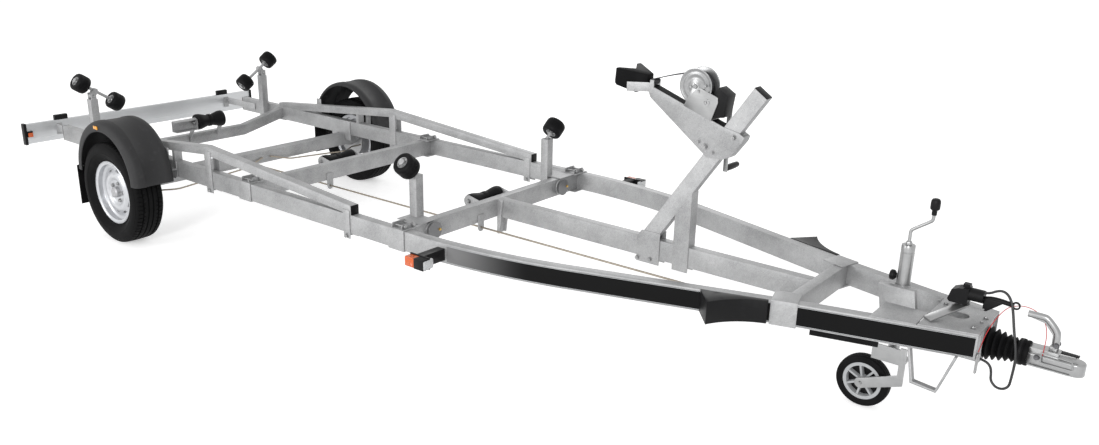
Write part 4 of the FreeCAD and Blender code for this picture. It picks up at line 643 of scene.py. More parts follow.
TINY_BOLT = 0.01
SMALL_BOLT = 0.011
LAMP_BOLT = 0.012
JOCKEY_NUT = 0.014
MIDDLE_BOLT = 0.017
LARGE_BOLT = 0.019
ROLLER_NUT = 0.024


def hex_bolt(width):
    # Head, washer and a short end of thread, standing along Z on the washer's face.
    bpy.ops.object.select_all(action="DESELECT")
    bpy.ops.mesh.primitive_cylinder_add(vertices=6, radius=width * 0.577, depth=width * 0.5,
                                        location=(0.0, 0.0, width * 0.35))
    head = rounded(settle(bpy.context.object), width * 0.05, 1)
    washer = bar((0.0, 0.0, 0.0), (0.0, 0.0, width * 0.1), width * 0.66, 20, width * 0.02)
    thread = bar((0.0, 0.0, width * 0.55), (0.0, 0.0, width * 0.72), width * 0.26, 12, width * 0.04)
    return joined([head, washer, thread])


# Frame steel: the plain members get rounded edges

SOFT_EDGES = {
    "side_rails": 0.006, "cross_beams": 0.004, "keel_beam": 0.005, "axle_beam": 0.005,
    "truss_rails": 0.003, "winch_post": 0.004, "winch_head": 0.0015, "roller_posts": 0.003,
    "rail_brackets": 0.0015, "jockey_bracket": 0.0015, "grab_strap": 0.002,
    "keel_roller_brackets": 0.0012, "rail_clamps": 0.0012, "winch_frame": 0.0012,
    "gear_case": 0.006, "bow_stop": 0.004, "wheel_chocks": 0.004, "end_caps": 0.0015,
    "light_board": 0.001, "coupling_head": 0.007, "jockey_fork": 0.0015,
    "overrun_housing": 0.002, "lamp_housings": 0.003, "swing_arms": 0.002,
}


def soften_edges():
    for node, edge in SOFT_EDGES.items():
        piece = added(node + "_copy", nodes[node].data.copy())
        into_edit(piece, "VERT")
        select_whole()
        bpy.ops.mesh.remove_doubles(threshold=WELD)
        bpy.ops.mesh.dissolve_limited(angle_limit=math.radians(1.0))
        out_of_edit()
        rounded(piece, edge, angle=40.0)
        slot = SLOT_OF[node]
        finished(piece, node + "_rounded", SLOT_FINISH[slot], slot, BODY_OF[node], node)


soften_edges()


# Wheels: tyre with ribs and lateral cuts, rim, wheel bolts

AXLE_X = -1.885
WHEEL_Z = 0.3145
WHEEL_PLANE = 0.95
WHEEL_CENTRE = (AXLE_X, WHEEL_PLANE, WHEEL_Z)
TYRE_STEPS = 360
CUT_PITCH = 5
TYRE_SIDE = (
    (0.179, 0.05), (0.179, 0.0612), (0.1956, 0.0654), (0.199, 0.0712), (0.205, 0.0728),
    (0.208, 0.0716), (0.211, 0.0736), (0.221, 0.0826), (0.234, 0.0906), (0.245, 0.0946),
    (0.246, 0.0958), (0.249, 0.0962), (0.25, 0.0956), (0.26, 0.0966), (0.27, 0.0958),
    (0.28, 0.0936), (0.2885, 0.0902), (0.289, 0.091), (0.2915, 0.0902), (0.292, 0.0888),
    (0.299, 0.085), (0.3052, 0.08), (0.3096, 0.0752), (0.3112, 0.07), (0.3122, 0.061),
    (0.313, 0.052), (0.306, 0.0505), (0.306, 0.0445), (0.3132, 0.043), (0.3137, 0.033),
    (0.3141, 0.0195), (0.307, 0.018), (0.307, 0.0125), (0.3142, 0.011), (0.3145, 0.003),
)
RIM_SECTION = (
    (0.191, 0.0722), (0.195, 0.07), (0.1948, 0.0672), (0.19, 0.064), (0.178, 0.061),
    (0.1772, 0.034), (0.174, 0.03), (0.1606, 0.0262), (0.16, 0.018), (0.16, -0.015),
    (0.161, -0.019), (0.176, -0.025), (0.1778, -0.061), (0.19, -0.064), (0.1948, -0.0672),
    (0.195, -0.07), (0.191, -0.0722), (0.1906, -0.069), (0.187, -0.067), (0.1736, -0.064),
    (0.1722, -0.0286), (0.1566, -0.0216), (0.1562, 0.019), (0.1566, 0.029), (0.1706, 0.0336),
    (0.1734, 0.037), (0.174, 0.064), (0.187, 0.067), (0.1906, 0.07),
)
DISC_SECTION = (
    (0.0335, 0.0325), (0.064, 0.0325), (0.072, 0.0335), (0.078, 0.037), (0.084, 0.043),
    (0.09, 0.047), (0.098, 0.0486), (0.108, 0.048), (0.117, 0.044), (0.126, 0.037),
    (0.138, 0.03), (0.147, 0.0268), (0.157, 0.0262),
)
RIM_STEPS = 160
SLOT_PITCH = 16
SLOT_WIDE = 7
SLOT_INNER = 0.124
SLOT_OUTER = 0.142
BOLT_COUNT = 5
BOLT_CIRCLE = 0.056
BOLT_START = 0.3
HUB_FACE = 0.985


def wheel_place(section):
    return [(AXLE_X + radius, WHEEL_PLANE + side, WHEEL_Z) for radius, side in section]


def step_of(place, steps):
    angle = math.atan2(place.z - WHEEL_Z, place.x - AXLE_X) % FULL_TURN
    return int(angle / FULL_TURN * steps)


def wheel_radius(place):
    return math.hypot(place.x - AXLE_X, place.z - WHEEL_Z)


def tread_cut(least_radius, near, far, flat, phase):
    # The faces of one cut in each pitch, between two distances from the wheel's plane.
    def wanted(place, normal):
        out = abs(place.y - WHEEL_PLANE)
        return (wheel_radius(place) > least_radius and near < out < far and abs(normal.y) < flat
                and step_of(place, TYRE_STEPS) % CUT_PITCH == phase)
    return wanted


def tyre():
    piece = spun(wheel_place(closed(mirrored_section(TYRE_SIDE))), WHEEL_CENTRE, LEFT, TYRE_STEPS)
    shoulder = tread_cut(0.3055, 0.056, 0.08, 2.0, 0)
    rib = tread_cut(0.312, 0.033, 0.043, 0.3, 2)
    into_edit(piece)
    for wanted, shrink in ((shoulder, 0.984), (rib, 0.988)):
        bpy.ops.mesh.select_all(action="DESELECT")
        pick(piece, wanted)
        pull((0.0, 0.0, 0.0))
        bpy.ops.transform.resize(value=(shrink, 1.0, shrink), center_override=WHEEL_CENTRE)
    out_of_edit()
    return piece


def wheel_rim():
    barrel = spun(wheel_place(closed(RIM_SECTION)), WHEEL_CENTRE, LEFT, 120)
    disc = spun(wheel_place(DISC_SECTION), WHEEL_CENTRE, LEFT, RIM_STEPS)

    def slot(place, _):
        return SLOT_INNER < wheel_radius(place) < SLOT_OUTER \
            and step_of(place, RIM_STEPS) % SLOT_PITCH < SLOT_WIDE

    into_edit(disc)
    pick(disc, slot)
    bpy.ops.mesh.delete(type="FACE")
    out_of_edit()
    modify(disc, "SOLIDIFY", thickness=0.0045, offset=0.0, use_even_offset=True)
    return joined([barrel, disc])


def wheel_bolts():
    rows = []
    for index in range(BOLT_COUNT):
        angle = FULL_TURN * index / BOLT_COUNT + BOLT_START
        x = AXLE_X + BOLT_CIRCLE * math.sin(angle)
        z = WHEEL_Z + BOLT_CIRCLE * math.cos(angle)
        rows.append(((x, HUB_FACE, z), LEFT))
    return spread(hex_bolt(LARGE_BOLT), rows)


def make_wheels():
    for make, name, finish, slot, node in (
            (tyre, "treaded_tyre", TYRE_RUBBER, "tyre", "tyre"),
            (wheel_rim, "slotted_rim", SILVER, "silver_rim", "rim"),
            (wheel_bolts, "wheel_bolts", ZINC, "zinc", None)):
        left = make()
        for piece, side in ((left, "left"), (mirrored(left), "right")):
            replaced = node + "_" + side if node else None
            finished(piece, name + "_" + side, finish, slot, "wheel_" + side, replaced)


make_wheels()


# Mudguards: two ridges round the crown, a rolled skirt edge

GUARD_CENTRE_Z = 0.41
GUARD_SECTION = (
    (0.287, 1.044), (0.285, 1.0475), (0.2875, 1.05), (0.296, 1.0496), (0.316, 1.0484),
    (0.329, 1.0456), (0.338, 1.04), (0.344, 1.032), (0.3478, 1.022), (0.3496, 1.01),
    (0.35, 0.996), (0.35, 0.988), (0.3462, 0.984), (0.3462, 0.856), (0.35, 0.852),
    (0.35, 0.83), (0.348, 0.816), (0.342, 0.806), (0.334, 0.8016), (0.324, 0.8008),
)


def ridged_mudguards():
    points = [(AXLE_X + radius, side, GUARD_CENTRE_Z) for radius, side in GUARD_SECTION]
    piece = spun(points, (AXLE_X, WHEEL_PLANE, GUARD_CENTRE_Z), LEFT, 64, HALF_TURN)
    modify(piece, "SOLIDIFY", thickness=0.004, offset=-1.0, use_even_offset=True)
    return both(rounded(piece, 0.0012, angle=50.0))


def flap_bolts():
    rows = [((-2.2345, y, 0.422), FORWARD) for y in (0.84, 0.925, 1.01)]
    return spread(hex_bolt(TINY_BOLT), two_sided(rows))


made(ridged_mudguards, GUARD_PLASTIC, "black_plastic", replaced="mudguards", smooth=50.0)
made(flap_bolts)


# Rollers on the posts: ribbed barrels with a bush and nut at each end

REAR_TILT = math.radians(34.0)
FRONT_TILT = math.radians(40.0)
ROLLER_SECTION = (
    (0.03, -0.031), (0.031, -0.039), (0.033, -0.0418), (0.038, -0.043), (0.046, -0.0424),
    (0.0524, -0.0396), (0.0562, -0.035), (0.0582, -0.028), (0.0589, -0.021), (0.059, -0.016),
    (0.0575, -0.0154), (0.0575, -0.0126), (0.059, -0.012), (0.059, -0.0092), (0.0575, -0.0086),
    (0.0575, -0.0058), (0.059, -0.0052), (0.059, -0.0024), (0.0575, -0.0018),
)
BUSH_SECTION = (
    (0.0108, -0.038), (0.0122, -0.04), (0.0165, -0.04), (0.0176, -0.0388), (0.0176, -0.033),
    (0.0262, -0.033), (0.0264, -0.0388), (0.0274, -0.0396), (0.0296, -0.0396), (0.0302, -0.0384),
    (0.0302, -0.03), (0.0108, -0.03),
)
BUSH_RIBS = 6


def roller_centre(node):
    low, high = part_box(node)
    return [(a + b) / 2 for a, b in zip(low, high)]


def roller_bushes(node, along):
    centre = Vector(roller_centre(node))
    pieces = []
    for end in (-1.0, 1.0):
        axis = Vector(along) * end
        pieces.append(turned(closed(BUSH_SECTION), centre, axis, 32))
        across = axis.orthogonal().normalized()
        side = axis.cross(across).normalized()
        for rib in range(BUSH_RIBS):
            angle = FULL_TURN * rib / BUSH_RIBS
            arm = across * math.cos(angle) + side * math.sin(angle)
            start = centre - axis * 0.0368 + arm * 0.015
            pieces.append(bar(start, start + arm * 0.0124, 0.0022, 8, 0.0004))
    return joined(pieces)


def post_rollers():
    section = closed(mirrored_section(ROLLER_SECTION))
    for name, angle in (("rear_roller_inner", REAR_TILT), ("rear_roller_outer", REAR_TILT),
                        ("front_roller", FRONT_TILT)):
        for side, sign in (("left", 1.0), ("right", -1.0)):
            node = name + "_" + side
            along = (0.0, sign * math.cos(angle), math.sin(angle))
            barrel = turned(section, roller_centre(node), along, 64)
            finished(barrel, node + "_ribbed", ROLLER_RUBBER, "black_rubber", node, node)
            finished(roller_bushes(node, along), node + "_bushes", body=node)


post_rollers()


# Keel rollers: two cones with a band at the middle

KEEL_SECTION = (
    (0.0085, -0.118), (0.028, -0.118), (0.034, -0.1172), (0.0374, -0.114), (0.038, -0.11),
    (0.038, -0.09), (0.0368, -0.08), (0.034, -0.064), (0.0306, -0.044), (0.0276, -0.024),
    (0.0268, -0.015), (0.029, -0.013), (0.0296, -0.01),
)
KEEL_BORE = 0.0085
# Node, share of the section's length, share of its radius, side of the nut
KEEL_ROLLERS = (
    ("keel_roller_front", 1.0, 1.0, 0.126),
    ("keel_roller_middle", 1.0, 1.0, 0.126),
    ("keel_roller_rear", 0.105 / 0.118, 0.055 / 0.038, 0.113),
)


def keel_rollers():
    rows = []
    for node, length_share, width_share, nut_side in KEEL_ROLLERS:
        section = [(radius * width_share, height * length_share) for radius, height in KEEL_SECTION]
        section = mirrored_section([(KEEL_BORE, section[0][1])] + section[1:])
        x, y, z = roller_centre(node)
        roller = turned(closed(section), (x, y, z), LEFT, 56)
        finished(roller, node + "_shaped", ROLLER_RUBBER, "black_rubber", node, node)
        rows.append(((x, nut_side, z), LEFT))
    finished(spread(hex_bolt(ROLLER_NUT), two_sided(rows)), "keel_roller_nuts")


keel_rollers()


# Stripes along the rails: a thin film that starts grey beside the front lamps and turns black

STRIPE_LINE = (
    (0.672, 0.739), (0.745, 0.7319), (0.815, 0.7232), (0.915, 0.708), (1.015, 0.6894),
    (1.115, 0.6672), (1.265, 0.6271), (1.415, 0.5803), (1.565, 0.533), (1.715, 0.4857),
    (1.915, 0.4226), (2.115, 0.3596), (2.315, 0.3025), (2.515, 0.2496), (2.715, 0.1968),
    (2.897, 0.1486),
)
STRIPE_LOW = 0.4195
STRIPE_HIGH = 0.5045
STRIPE_OFF_RAIL = 0.0008


def rail_stripes():
    line = [(x, y + STRIPE_OFF_RAIL, STRIPE_LOW) for x, y in STRIPE_LINE]
    return both(band(line, (0.0, 0.0, STRIPE_HIGH - STRIPE_LOW), 0.0005))


made(rail_stripes, STRIPE_FILM, "black_plastic")


# Winch: drum with pressed rings, strap on the drum and to the bow stop, crank with its grip

DRUM = (1.5461, 0.0, 1.2811)
CRANK_X = 1.6621
CRANK_Z = 1.1901
CRANK_SIDE = 0.088
STRAP_PIN = (1.3111, 0.0, 1.2721)
STRAP_HALF = 0.024
HEAD_SIDE = -0.035
POST_SIDE = -0.03
FRAME_SIDE = -0.0425
PAWL_PIVOT = (1.606, 1.217)
DRUM_SECTION = (
    (0.01, 0.0465), (0.01, 0.04), (0.018, 0.0396), (0.022, 0.0384), (0.033, 0.0384),
    (0.036, 0.0366), (0.047, 0.0366), (0.05, 0.0384), (0.06, 0.0384), (0.063, 0.0366),
    (0.072, 0.0366), (0.0746, 0.0384), (0.079, 0.0392), (0.082, 0.0384), (0.082, 0.0352),
    (0.079, 0.034), (0.042, 0.0336), (0.024, 0.033), (0.024, 0.0),
)


def pressed_drum():
    section = mirrored_section([(radius, -height) for radius, height in DRUM_SECTION])
    ends = [(0.0, section[0][1])] + section + [(0.0, section[-1][1])]
    return turned(ends, DRUM, LEFT, 72)


def strap_on_drum():
    # Layers on the drum, then a slightly bowed run to the pin.
    roll = turned(closed([(0.025, -0.029), (0.0585, -0.029), (0.06, -0.027), (0.06, 0.027),
                          (0.0585, 0.029), (0.025, 0.029)]), DRUM, LEFT, 64)
    tangent = Vector((DRUM[0] - 0.012, 0.0, DRUM[2] + 0.059))
    end = Vector(STRAP_PIN) + Vector((0.004, 0.0, 0.012))
    steps = 12
    line = []
    for step in range(steps + 1):
        share = step / steps
        place = tangent.lerp(end, share)
        line.append((place.x, -STRAP_HALF, place.z + 0.005 * math.sin(share * HALF_TURN)))
    run = band(line, (0.0, 2 * STRAP_HALF, 0.0), 0.0048)
    loop = turned(ring(0.008, 0.0135, -STRAP_HALF, STRAP_HALF), STRAP_PIN, LEFT, 28)
    return joined([roll, rounded(run, 0.0006, 1), loop])


def crank_arm():
    arm = side_plate(((1.6491, 1.203), (1.6751, 1.203), (1.6731, 0.884), (1.6511, 0.884)),
                     0.08, CRANK_SIDE, 0.003)
    shaft = bar((CRANK_X, 0.0185, CRANK_Z), (CRANK_X, 0.092, CRANK_Z), 0.01, 24)
    nut = spread(hex_bolt(MIDDLE_BOLT), [((CRANK_X, CRANK_SIDE, CRANK_Z), LEFT)])
    return joined([arm, shaft, nut])


def crank_grip():
    profile = ((0.0, 0.0), (0.01, 0.0), (0.0128, 0.002), (0.0128, 0.008), (0.0142, 0.018),
               (0.015, 0.04), (0.015, 0.07), (0.014, 0.092), (0.0126, 0.102), (0.0132, 0.108),
               (0.011, 0.113), (0.0, 0.114))
    return turned(profile, (CRANK_X, CRANK_SIDE, 0.899), LEFT, 32)


def on_side(y, places):
    return [((x, y, z), RIGHT) for x, z in places]


def frame_details():
    places = ((1.526, 1.278), (1.566, 1.263), (1.6, 1.29))
    bolts = spread(hex_bolt(TINY_BOLT), on_side(FRAME_SIDE, places))
    x, z = PAWL_PIVOT
    washer = turned(ring(0.009, 0.017, 0.0, 0.003), (x, FRAME_SIDE, z), RIGHT, 32)
    pin = bar((x, -0.041, z), (x, -0.0485, z), 0.006, 24)
    return joined([bolts, washer, pin])


def head_bolts():
    large = on_side(HEAD_SIDE, ((1.75, 1.079), (1.6115, 1.015)))
    small = on_side(HEAD_SIDE, ((1.577, 1.033), (1.6525, 0.993)))
    feet = on_side(POST_SIDE, ((1.281, 0.4015), (1.354, 0.408)))
    return joined([spread(hex_bolt(width), two_sided(rows)) for width, rows in (
        (LARGE_BOLT, large), (SMALL_BOLT, small), (MIDDLE_BOLT, feet))])


made(pressed_drum, BRIGHT_ZINC, replaced="winch_drum", smooth=40.0)
made(strap_on_drum, WEBBING, "webbing", replaced="winch_strap")
made(crank_arm, replaced="winch_crank")
made(crank_grip, BLACK_PLASTIC, "black_plastic")
made(frame_details)
made(head_bolts)


# Jockey wheel: spoked rim, tyre, tube with its crank and knob

JOCKEY_AXLE = (2.448, 0.0, 0.117)
JOCKEY_TUBE = (2.555, 0.0, 0.0)
JOCKEY_TYRE_SECTION = (
    (0.0835, 0.0205), (0.09, 0.0225), (0.1, 0.024), (0.1075, 0.0246), (0.112, 0.0236),
    (0.115, 0.02), (0.1164, 0.013), (0.1156, 0.011), (0.1156, 0.008), (0.1168, 0.006),
    (0.117, 0.0),
)
JOCKEY_RIM_SECTION = (
    (0.07, 0.0215), (0.084, 0.0215), (0.0858, 0.019), (0.085, 0.0), (0.085, -0.019),
    (0.084, -0.0215), (0.07, -0.0215), (0.069, -0.015), (0.069, 0.015),
)
JOCKEY_HUB_SECTION = (
    (0.0082, 0.0292), (0.018, 0.0292), (0.021, 0.027), (0.023, 0.012), (0.023, -0.012),
    (0.021, -0.027), (0.018, -0.0292), (0.0082, -0.0292),
)
SPOKES = 7


def jockey_tyre_shaped():
    return turned(closed(mirrored_section(JOCKEY_TYRE_SECTION)), JOCKEY_AXLE, LEFT, 96)


def jockey_rim_spoked():
    pieces = [turned(closed(JOCKEY_RIM_SECTION), JOCKEY_AXLE, LEFT, 72),
              turned(closed(JOCKEY_HUB_SECTION), JOCKEY_AXLE, LEFT, 40)]
    for index in range(SPOKES):
        spoke = block((0.019, -0.019, -0.0046), (0.0712, 0.019, 0.0046), 0.0018)
        turn = Matrix.Rotation(FULL_TURN * index / SPOKES, 4, "Y")
        spoke.matrix_world = Matrix.Translation(JOCKEY_AXLE) @ turn
        pieces.append(settle(spoke))
    return joined(pieces)


def jockey_shade_disc():
    # Painted shade: a thin dark disc behind the spokes that stands for the shadowed inside of the
    # wheel.
    return turned(ring(0.02, 0.0712, 0.006, 0.009), JOCKEY_AXLE, LEFT, 48)


def jockey_tube_shaped():
    profile = ((0.0236, 0.365), (0.0266, 0.365), (0.0275, 0.366), (0.0275, 0.729), (0.0262, 0.73),
               (0.0262, 0.733), (0.0275, 0.734), (0.0275, 0.7585), (0.0262, 0.7612),
               (0.02, 0.762), (0.0, 0.762))
    tube = turned(profile, JOCKEY_TUBE, UP, 48)
    inner = turned(((0.0236, 0.365), (0.0236, 0.46), (0.0, 0.46)), JOCKEY_TUBE, UP, 48)
    boss = turned(((0.0, 0.76), (0.0125, 0.76), (0.0125, 0.772), (0.011, 0.775), (0.0, 0.775)),
                  JOCKEY_TUBE, UP, 32)
    line = ((2.555, 0.764), (2.555, 0.8), (2.555, 0.821), (2.565, 0.831), (2.624, 0.872),
            (2.635, 0.882), (2.635, 0.898), (2.635, 0.93))
    rod = bent_wire([(x, 0.0, z) for x, z in line], 0.0068)
    return joined([tube, inner, boss, rod])


def jockey_knob():
    profile = ((0.0, 0.0), (0.0085, 0.0), (0.01, 0.0015), (0.0102, 0.018), (0.0125, 0.0215),
               (0.0175, 0.025), (0.0188, 0.029), (0.019, 0.052), (0.0178, 0.061),
               (0.014, 0.0668), (0.008, 0.069), (0.0, 0.0692))
    return turned(profile, (2.635, 0.0, 0.903), UP, 36)


def clamp_knob():
    # Behind the tube: it tightens the collar.
    profile = ((0.0, 0.0), (0.009, 0.0), (0.011, 0.002), (0.019, 0.008), (0.0215, 0.012),
               (0.0215, 0.022), (0.019, 0.026), (0.0, 0.027))
    return turned(profile, (2.525, 0.0, 0.619), BACKWARD, 24)


def make_jockey():
    for shape, finish, slot, node in (
            (jockey_tyre_shaped, BLACK_RUBBER, "black_rubber", "jockey_tyre"),
            (jockey_rim_spoked, GREY_PLASTIC, "black_plastic", "jockey_rim"),
            (jockey_shade_disc, BLACK_PLASTIC, "black_plastic", None)):
        made(shape, finish, slot, "jockey_wheel", node)
    made(jockey_tube_shaped, replaced="jockey_tube")
    made(jockey_knob, BLACK_PLASTIC, "black_plastic")
    made(clamp_knob, BLACK_PLASTIC, "black_plastic")
    x, _, z = JOCKEY_AXLE
    rows = [((x, y, z), (0.0, y, 0.0)) for y in (0.033, -0.044)]
    finished(spread(hex_bolt(JOCKEY_NUT), rows), "jockey_axle_nuts", body="jockey_fork")


make_jockey()


# Nose: bellows, coupling head details, handle, lever grip, housing bolts

BELLOWS_START = (2.905, 0.0, 0.436)
BELLOWS_FOLDS = 5
HOUSING_TOP = 0.519
CHEEK_SIDE = -0.0398
STRIP_RIBS = 11
LEVER_GRIP_LINE = (
    (2.8705, 0.0, 0.61), (2.885, 0.0, 0.616), (2.908, 0.0, 0.619), (2.935, 0.0, 0.6175),
    (2.96, 0.0, 0.614), (2.979, 0.0, 0.6125),
)


def folded_bellows():
    # Folds that get smaller towards the coupling.
    section = [(0.0253, 2.905), (0.064, 2.905)]
    for index in range(BELLOWS_FOLDS):
        share = index / (BELLOWS_FOLDS - 1)
        start = 2.9065 + index * 0.0226
        outer = 0.068 - 0.018 * share
        inner = outer - 0.019 + 0.006 * share
        section += [(inner + 0.002, start), (outer - 0.003, start + 0.0086),
                    (outer, start + 0.0108), (outer - 0.001, start + 0.0132),
                    (inner + 0.002, start + 0.02), (inner, start + 0.0214)]
    section += [(0.05, 3.023), (0.052, 3.025), (0.052, 3.043), (0.05, 3.045),
                (0.048, 3.0452), (0.048, 3.05), (0.05, 3.0503), (0.05, 3.06),
                (0.048, 3.0627), (0.0253, 3.0627)]
    profile = [(radius, x - BELLOWS_START[0]) for radius, x in closed(section)]
    return turned(profile, BELLOWS_START, FORWARD, 64)


def bellows_band():
    return turned(ring(0.05, 0.0526, 0.1255, 0.133), BELLOWS_START, FORWARD, 48)


def lever_strip():
    # Flat strip from the pivot on the housing up to the grip, and the tongue that enters it.
    along = Vector((2.805, 0.0, 0.567)) - Vector((2.705, -0.14, 0.5193))
    across = along.cross(Vector(UP)).normalized() * 0.023
    low = Vector((2.705, -0.14, 0.5203))
    high = low + along
    outline = [low + across, low - across, high - across, high + across]
    strip = cut_plate([tuple(point) for point in outline], (0.0, 0.0, 0.008), 0.001)
    tongue = block((2.79, -0.016, 0.5672), (2.88, 0.016, 0.5746), 0.001, 1)
    return joined([strip, tongue])


def lever_grip():
    # Moulded grip: thick at the plug, slim at the eye that the breakaway wire runs through.
    arm = bent_wire(LEVER_GRIP_LINE, 0.0098, 4)
    foot = side_plate(((2.8705, 0.564), (2.886, 0.564), (2.94, 0.609), (2.94, 0.618),
                       (2.8705, 0.618)), -0.0115, 0.0115, 0.004, 3)
    section = [(0.0102, -0.0045), (0.015, -0.0045), (0.016, -0.003), (0.016, 0.003),
               (0.015, 0.0045), (0.0102, 0.0045)]
    eye = turned(closed(section), (2.987, 0.0, 0.613), LEFT, 40)
    return joined([arm, foot, eye])


def on_housing(width, places):
    return spread(hex_bolt(width), [((x, y, HOUSING_TOP), UP) for x, y in places])


def housing_bolts():
    return joined([on_housing(MIDDLE_BOLT, ((2.715, 0.075), (2.871, -0.104), (2.883, 0.028))),
                   on_housing(SMALL_BOLT, ((2.682, 0.091), (2.738, 0.072), (2.881, -0.022)))])


def cast_handle():
    # Cast handle: a rounded rib along the outside of a narrow web.
    outer = ((3.146, 0.476), (3.147, 0.536), (3.138, 0.556), (3.104, 0.592), (3.09, 0.597),
             (3.034, 0.596))
    rib = bent_wire([(x, 0.0, z) for x, z in outer], 0.0128)
    web = side_plate(((3.132, 0.48), (3.15, 0.48), (3.15, 0.536), (3.104, 0.59), (3.034, 0.592),
                      (3.034, 0.586), (3.096, 0.574), (3.13, 0.534)), -0.0042, 0.0042, 0.0015)
    foot = block((3.126, -0.0125, 0.4735), (3.1565, 0.0125, 0.492), 0.004, 3)
    return joined([rib, web, foot])


def coupling_borders():
    # Raised ribs that frame the pressed field on each cheek, and the lip along the lower edge.
    corners = [(3.108, 0.468), (3.216, 0.462), (3.222, 0.428), (3.112, 0.428)]
    pieces = []
    for (x0, z0), (x1, z1) in zip(corners, corners[1:] + corners[:1]):
        pieces.append(bar((x0, CHEEK_SIDE, z0), (x1, CHEEK_SIDE, z1), 0.0022, 10, 0.0006))
    pieces.append(bar((3.068, -0.0396, 0.4072), (3.214, -0.0396, 0.4072), 0.003, 12, 0.0006))
    return both(joined(pieces))


def ribbed_strip():
    pieces = [block((3.168, -0.011, 0.4715), (3.232, 0.011, 0.4755), 0.001, 1)]
    for index in range(STRIP_RIBS):
        x = 3.1695 + index * 0.0056
        pieces.append(block((x, -0.0122, 0.4725), (x + 0.0028, 0.0122, 0.4772), 0.0007, 1))
    return joined(pieces)


def coupling_bolts():
    rows = [((3.095, -0.034, 0.443), RIGHT), ((3.15, -0.0135, 0.5), RIGHT)]
    return spread(hex_bolt(MIDDLE_BOLT), two_sided(rows))


made(folded_bellows, BLACK_RUBBER, "black_rubber", replaced="bellows", smooth=50.0)
made(bellows_band, BLACK_PLASTIC, "black_plastic")
made(lever_strip, replaced="hand_lever")
made(lever_grip, BLACK_PLASTIC, "black_plastic", replaced="hand_lever")
made(housing_bolts)
made(coupling_bolts, DARK_STEEL, "cast")
made(cast_handle, replaced="coupling_handle", smooth=45.0)
made(coupling_borders)
made(ribbed_strip, BLACK_PLASTIC, "black_plastic")


# Lamps: coloured fields on the rear lamps, clear fronts on the front lamps

LAMP_INNER = 0.645
FIELD_PITCH = 0.078
FIELD_WIDE = 0.074


def rear_lamp_lenses():
    # Each rear lamp: amber outside, red on the two inner fields.
    red = []
    amber = []
    for sign in (1.0, -1.0):
        for index, group in enumerate((red, red, amber)):
            inner = LAMP_INNER + FIELD_PITCH * index
            near, far = sorted((sign * inner, sign * (inner + FIELD_WIDE)))
            group.append(block((-3.2602, near, 0.415), (-3.2515, far, 0.5016), 0.003))
    return joined(red), joined(amber)


def guard_reflectors():
    pieces = []
    for start in (-1.9465, -1.925):
        pieces.append(block((start, 1.05, 0.7075), (start + 0.02, 1.0562, 0.7272), 0.0016))
    return both(joined(pieces))


def amber_markers():
    pieces = [block((-3.1945, 0.873, 0.427), (-3.1855, 0.904, 0.457), 0.003),
              block((0.5855, 0.886, 0.439), (0.645, 0.93, 0.487), 0.004)]
    return both(joined(pieces))


def clear_fronts():
    return both(block((0.688, 0.86, 0.437), (0.7075, 0.929, 0.485), 0.0085, 4))


def make_lamps():
    red, amber = rear_lamp_lenses()
    finished(red, "rear_red_fields", RED_LENS, "red_lens", replaced="red_lenses")
    finished(amber, "rear_amber_fields", AMBER_LENS, "amber_lens")
    made(guard_reflectors, REFLECTOR, "amber_lens", replaced="amber_lenses")
    made(amber_markers, AMBER_LENS, "amber_lens", replaced="amber_lenses")
    made(clear_fronts, CLEAR_LENS, "white_board")
    rows = [((0.629, -0.76, 0.4535), (0.0, -0.3, 1.0)), ((0.648, -0.752, 0.4325), (0.3, -1.0, 0.0))]
    finished(spread(hex_bolt(LAMP_BOLT), two_sided(rows)), "lamp_arm_bolts")


make_lamps()


# Fixings: ears and bolts of the clamps, bolts through the truss feet, plates under the front posts

BEAM_SPANS = ((-0.925, -0.875), (0.315, 0.365))
EAR_OUTLINE = (
    (0.652, 0.505), (0.652, 0.53), (0.662, 0.541), (0.738, 0.541), (0.748, 0.53), (0.748, 0.505),
)
CLAMP_BOLT_SIDES = (0.672, 0.728)
CLAMP_BOLT_Z = 0.529
TRUSS_FEET = (-1.245, -0.027)
TRUSS_BOLT_Z = 0.399
DISC_SIDES = (0.532, -0.532)
DISC_Z = 0.463


def clamp_ears():
    pieces = []
    for low, high in BEAM_SPANS:
        for x0, x1 in ((low - 0.01, low - 0.006), (high + 0.006, high + 0.01)):
            outline = [(x0, y, z) for y, z in EAR_OUTLINE]
            pieces.append(cut_plate(outline, (x1 - x0, 0.0, 0.0), 0.001, 1))
        pieces.append(block((low - 0.006, 0.656, 0.5135), (high + 0.006, 0.744, 0.5185), 0.001, 1))
    return both(joined(pieces))


def clamp_bolts():
    rows = []
    rods = []
    for low, high in BEAM_SPANS:
        for y in CLAMP_BOLT_SIDES:
            rows += [((low - 0.01, y, CLAMP_BOLT_Z), BACKWARD),
                     ((high + 0.01, y, CLAMP_BOLT_Z), FORWARD)]
            for side in (y, -y):
                start, end = [(x, side, CLAMP_BOLT_Z) for x in (low - 0.008, high + 0.008)]
                rods.append(bar(start, end, 0.0045, 12, 0.0005))
    return joined([spread(hex_bolt(MIDDLE_BOLT), two_sided(rows))] + rods)


def foot_bolts():
    # Through the truss feet and through the cradles' pins.
    rows = []
    for x in TRUSS_FEET:
        rows += [((x, 0.755, TRUSS_BOLT_Z), LEFT), ((x, 0.695, TRUSS_BOLT_Z), RIGHT)]
    rows += [((-2.66, 0.675, 0.757), FORWARD), ((-2.71, 0.675, 0.757), BACKWARD)]
    return spread(hex_bolt(LARGE_BOLT), two_sided(rows))


def post_plates():
    return both(block((0.222, 0.515, 0.5135), (0.38, 0.634, 0.518), 0.0012, 1))


def disc_bolts():
    return spread(hex_bolt(SMALL_BOLT), [((0.39, y + 0.033, DISC_Z), FORWARD) for y in DISC_SIDES])


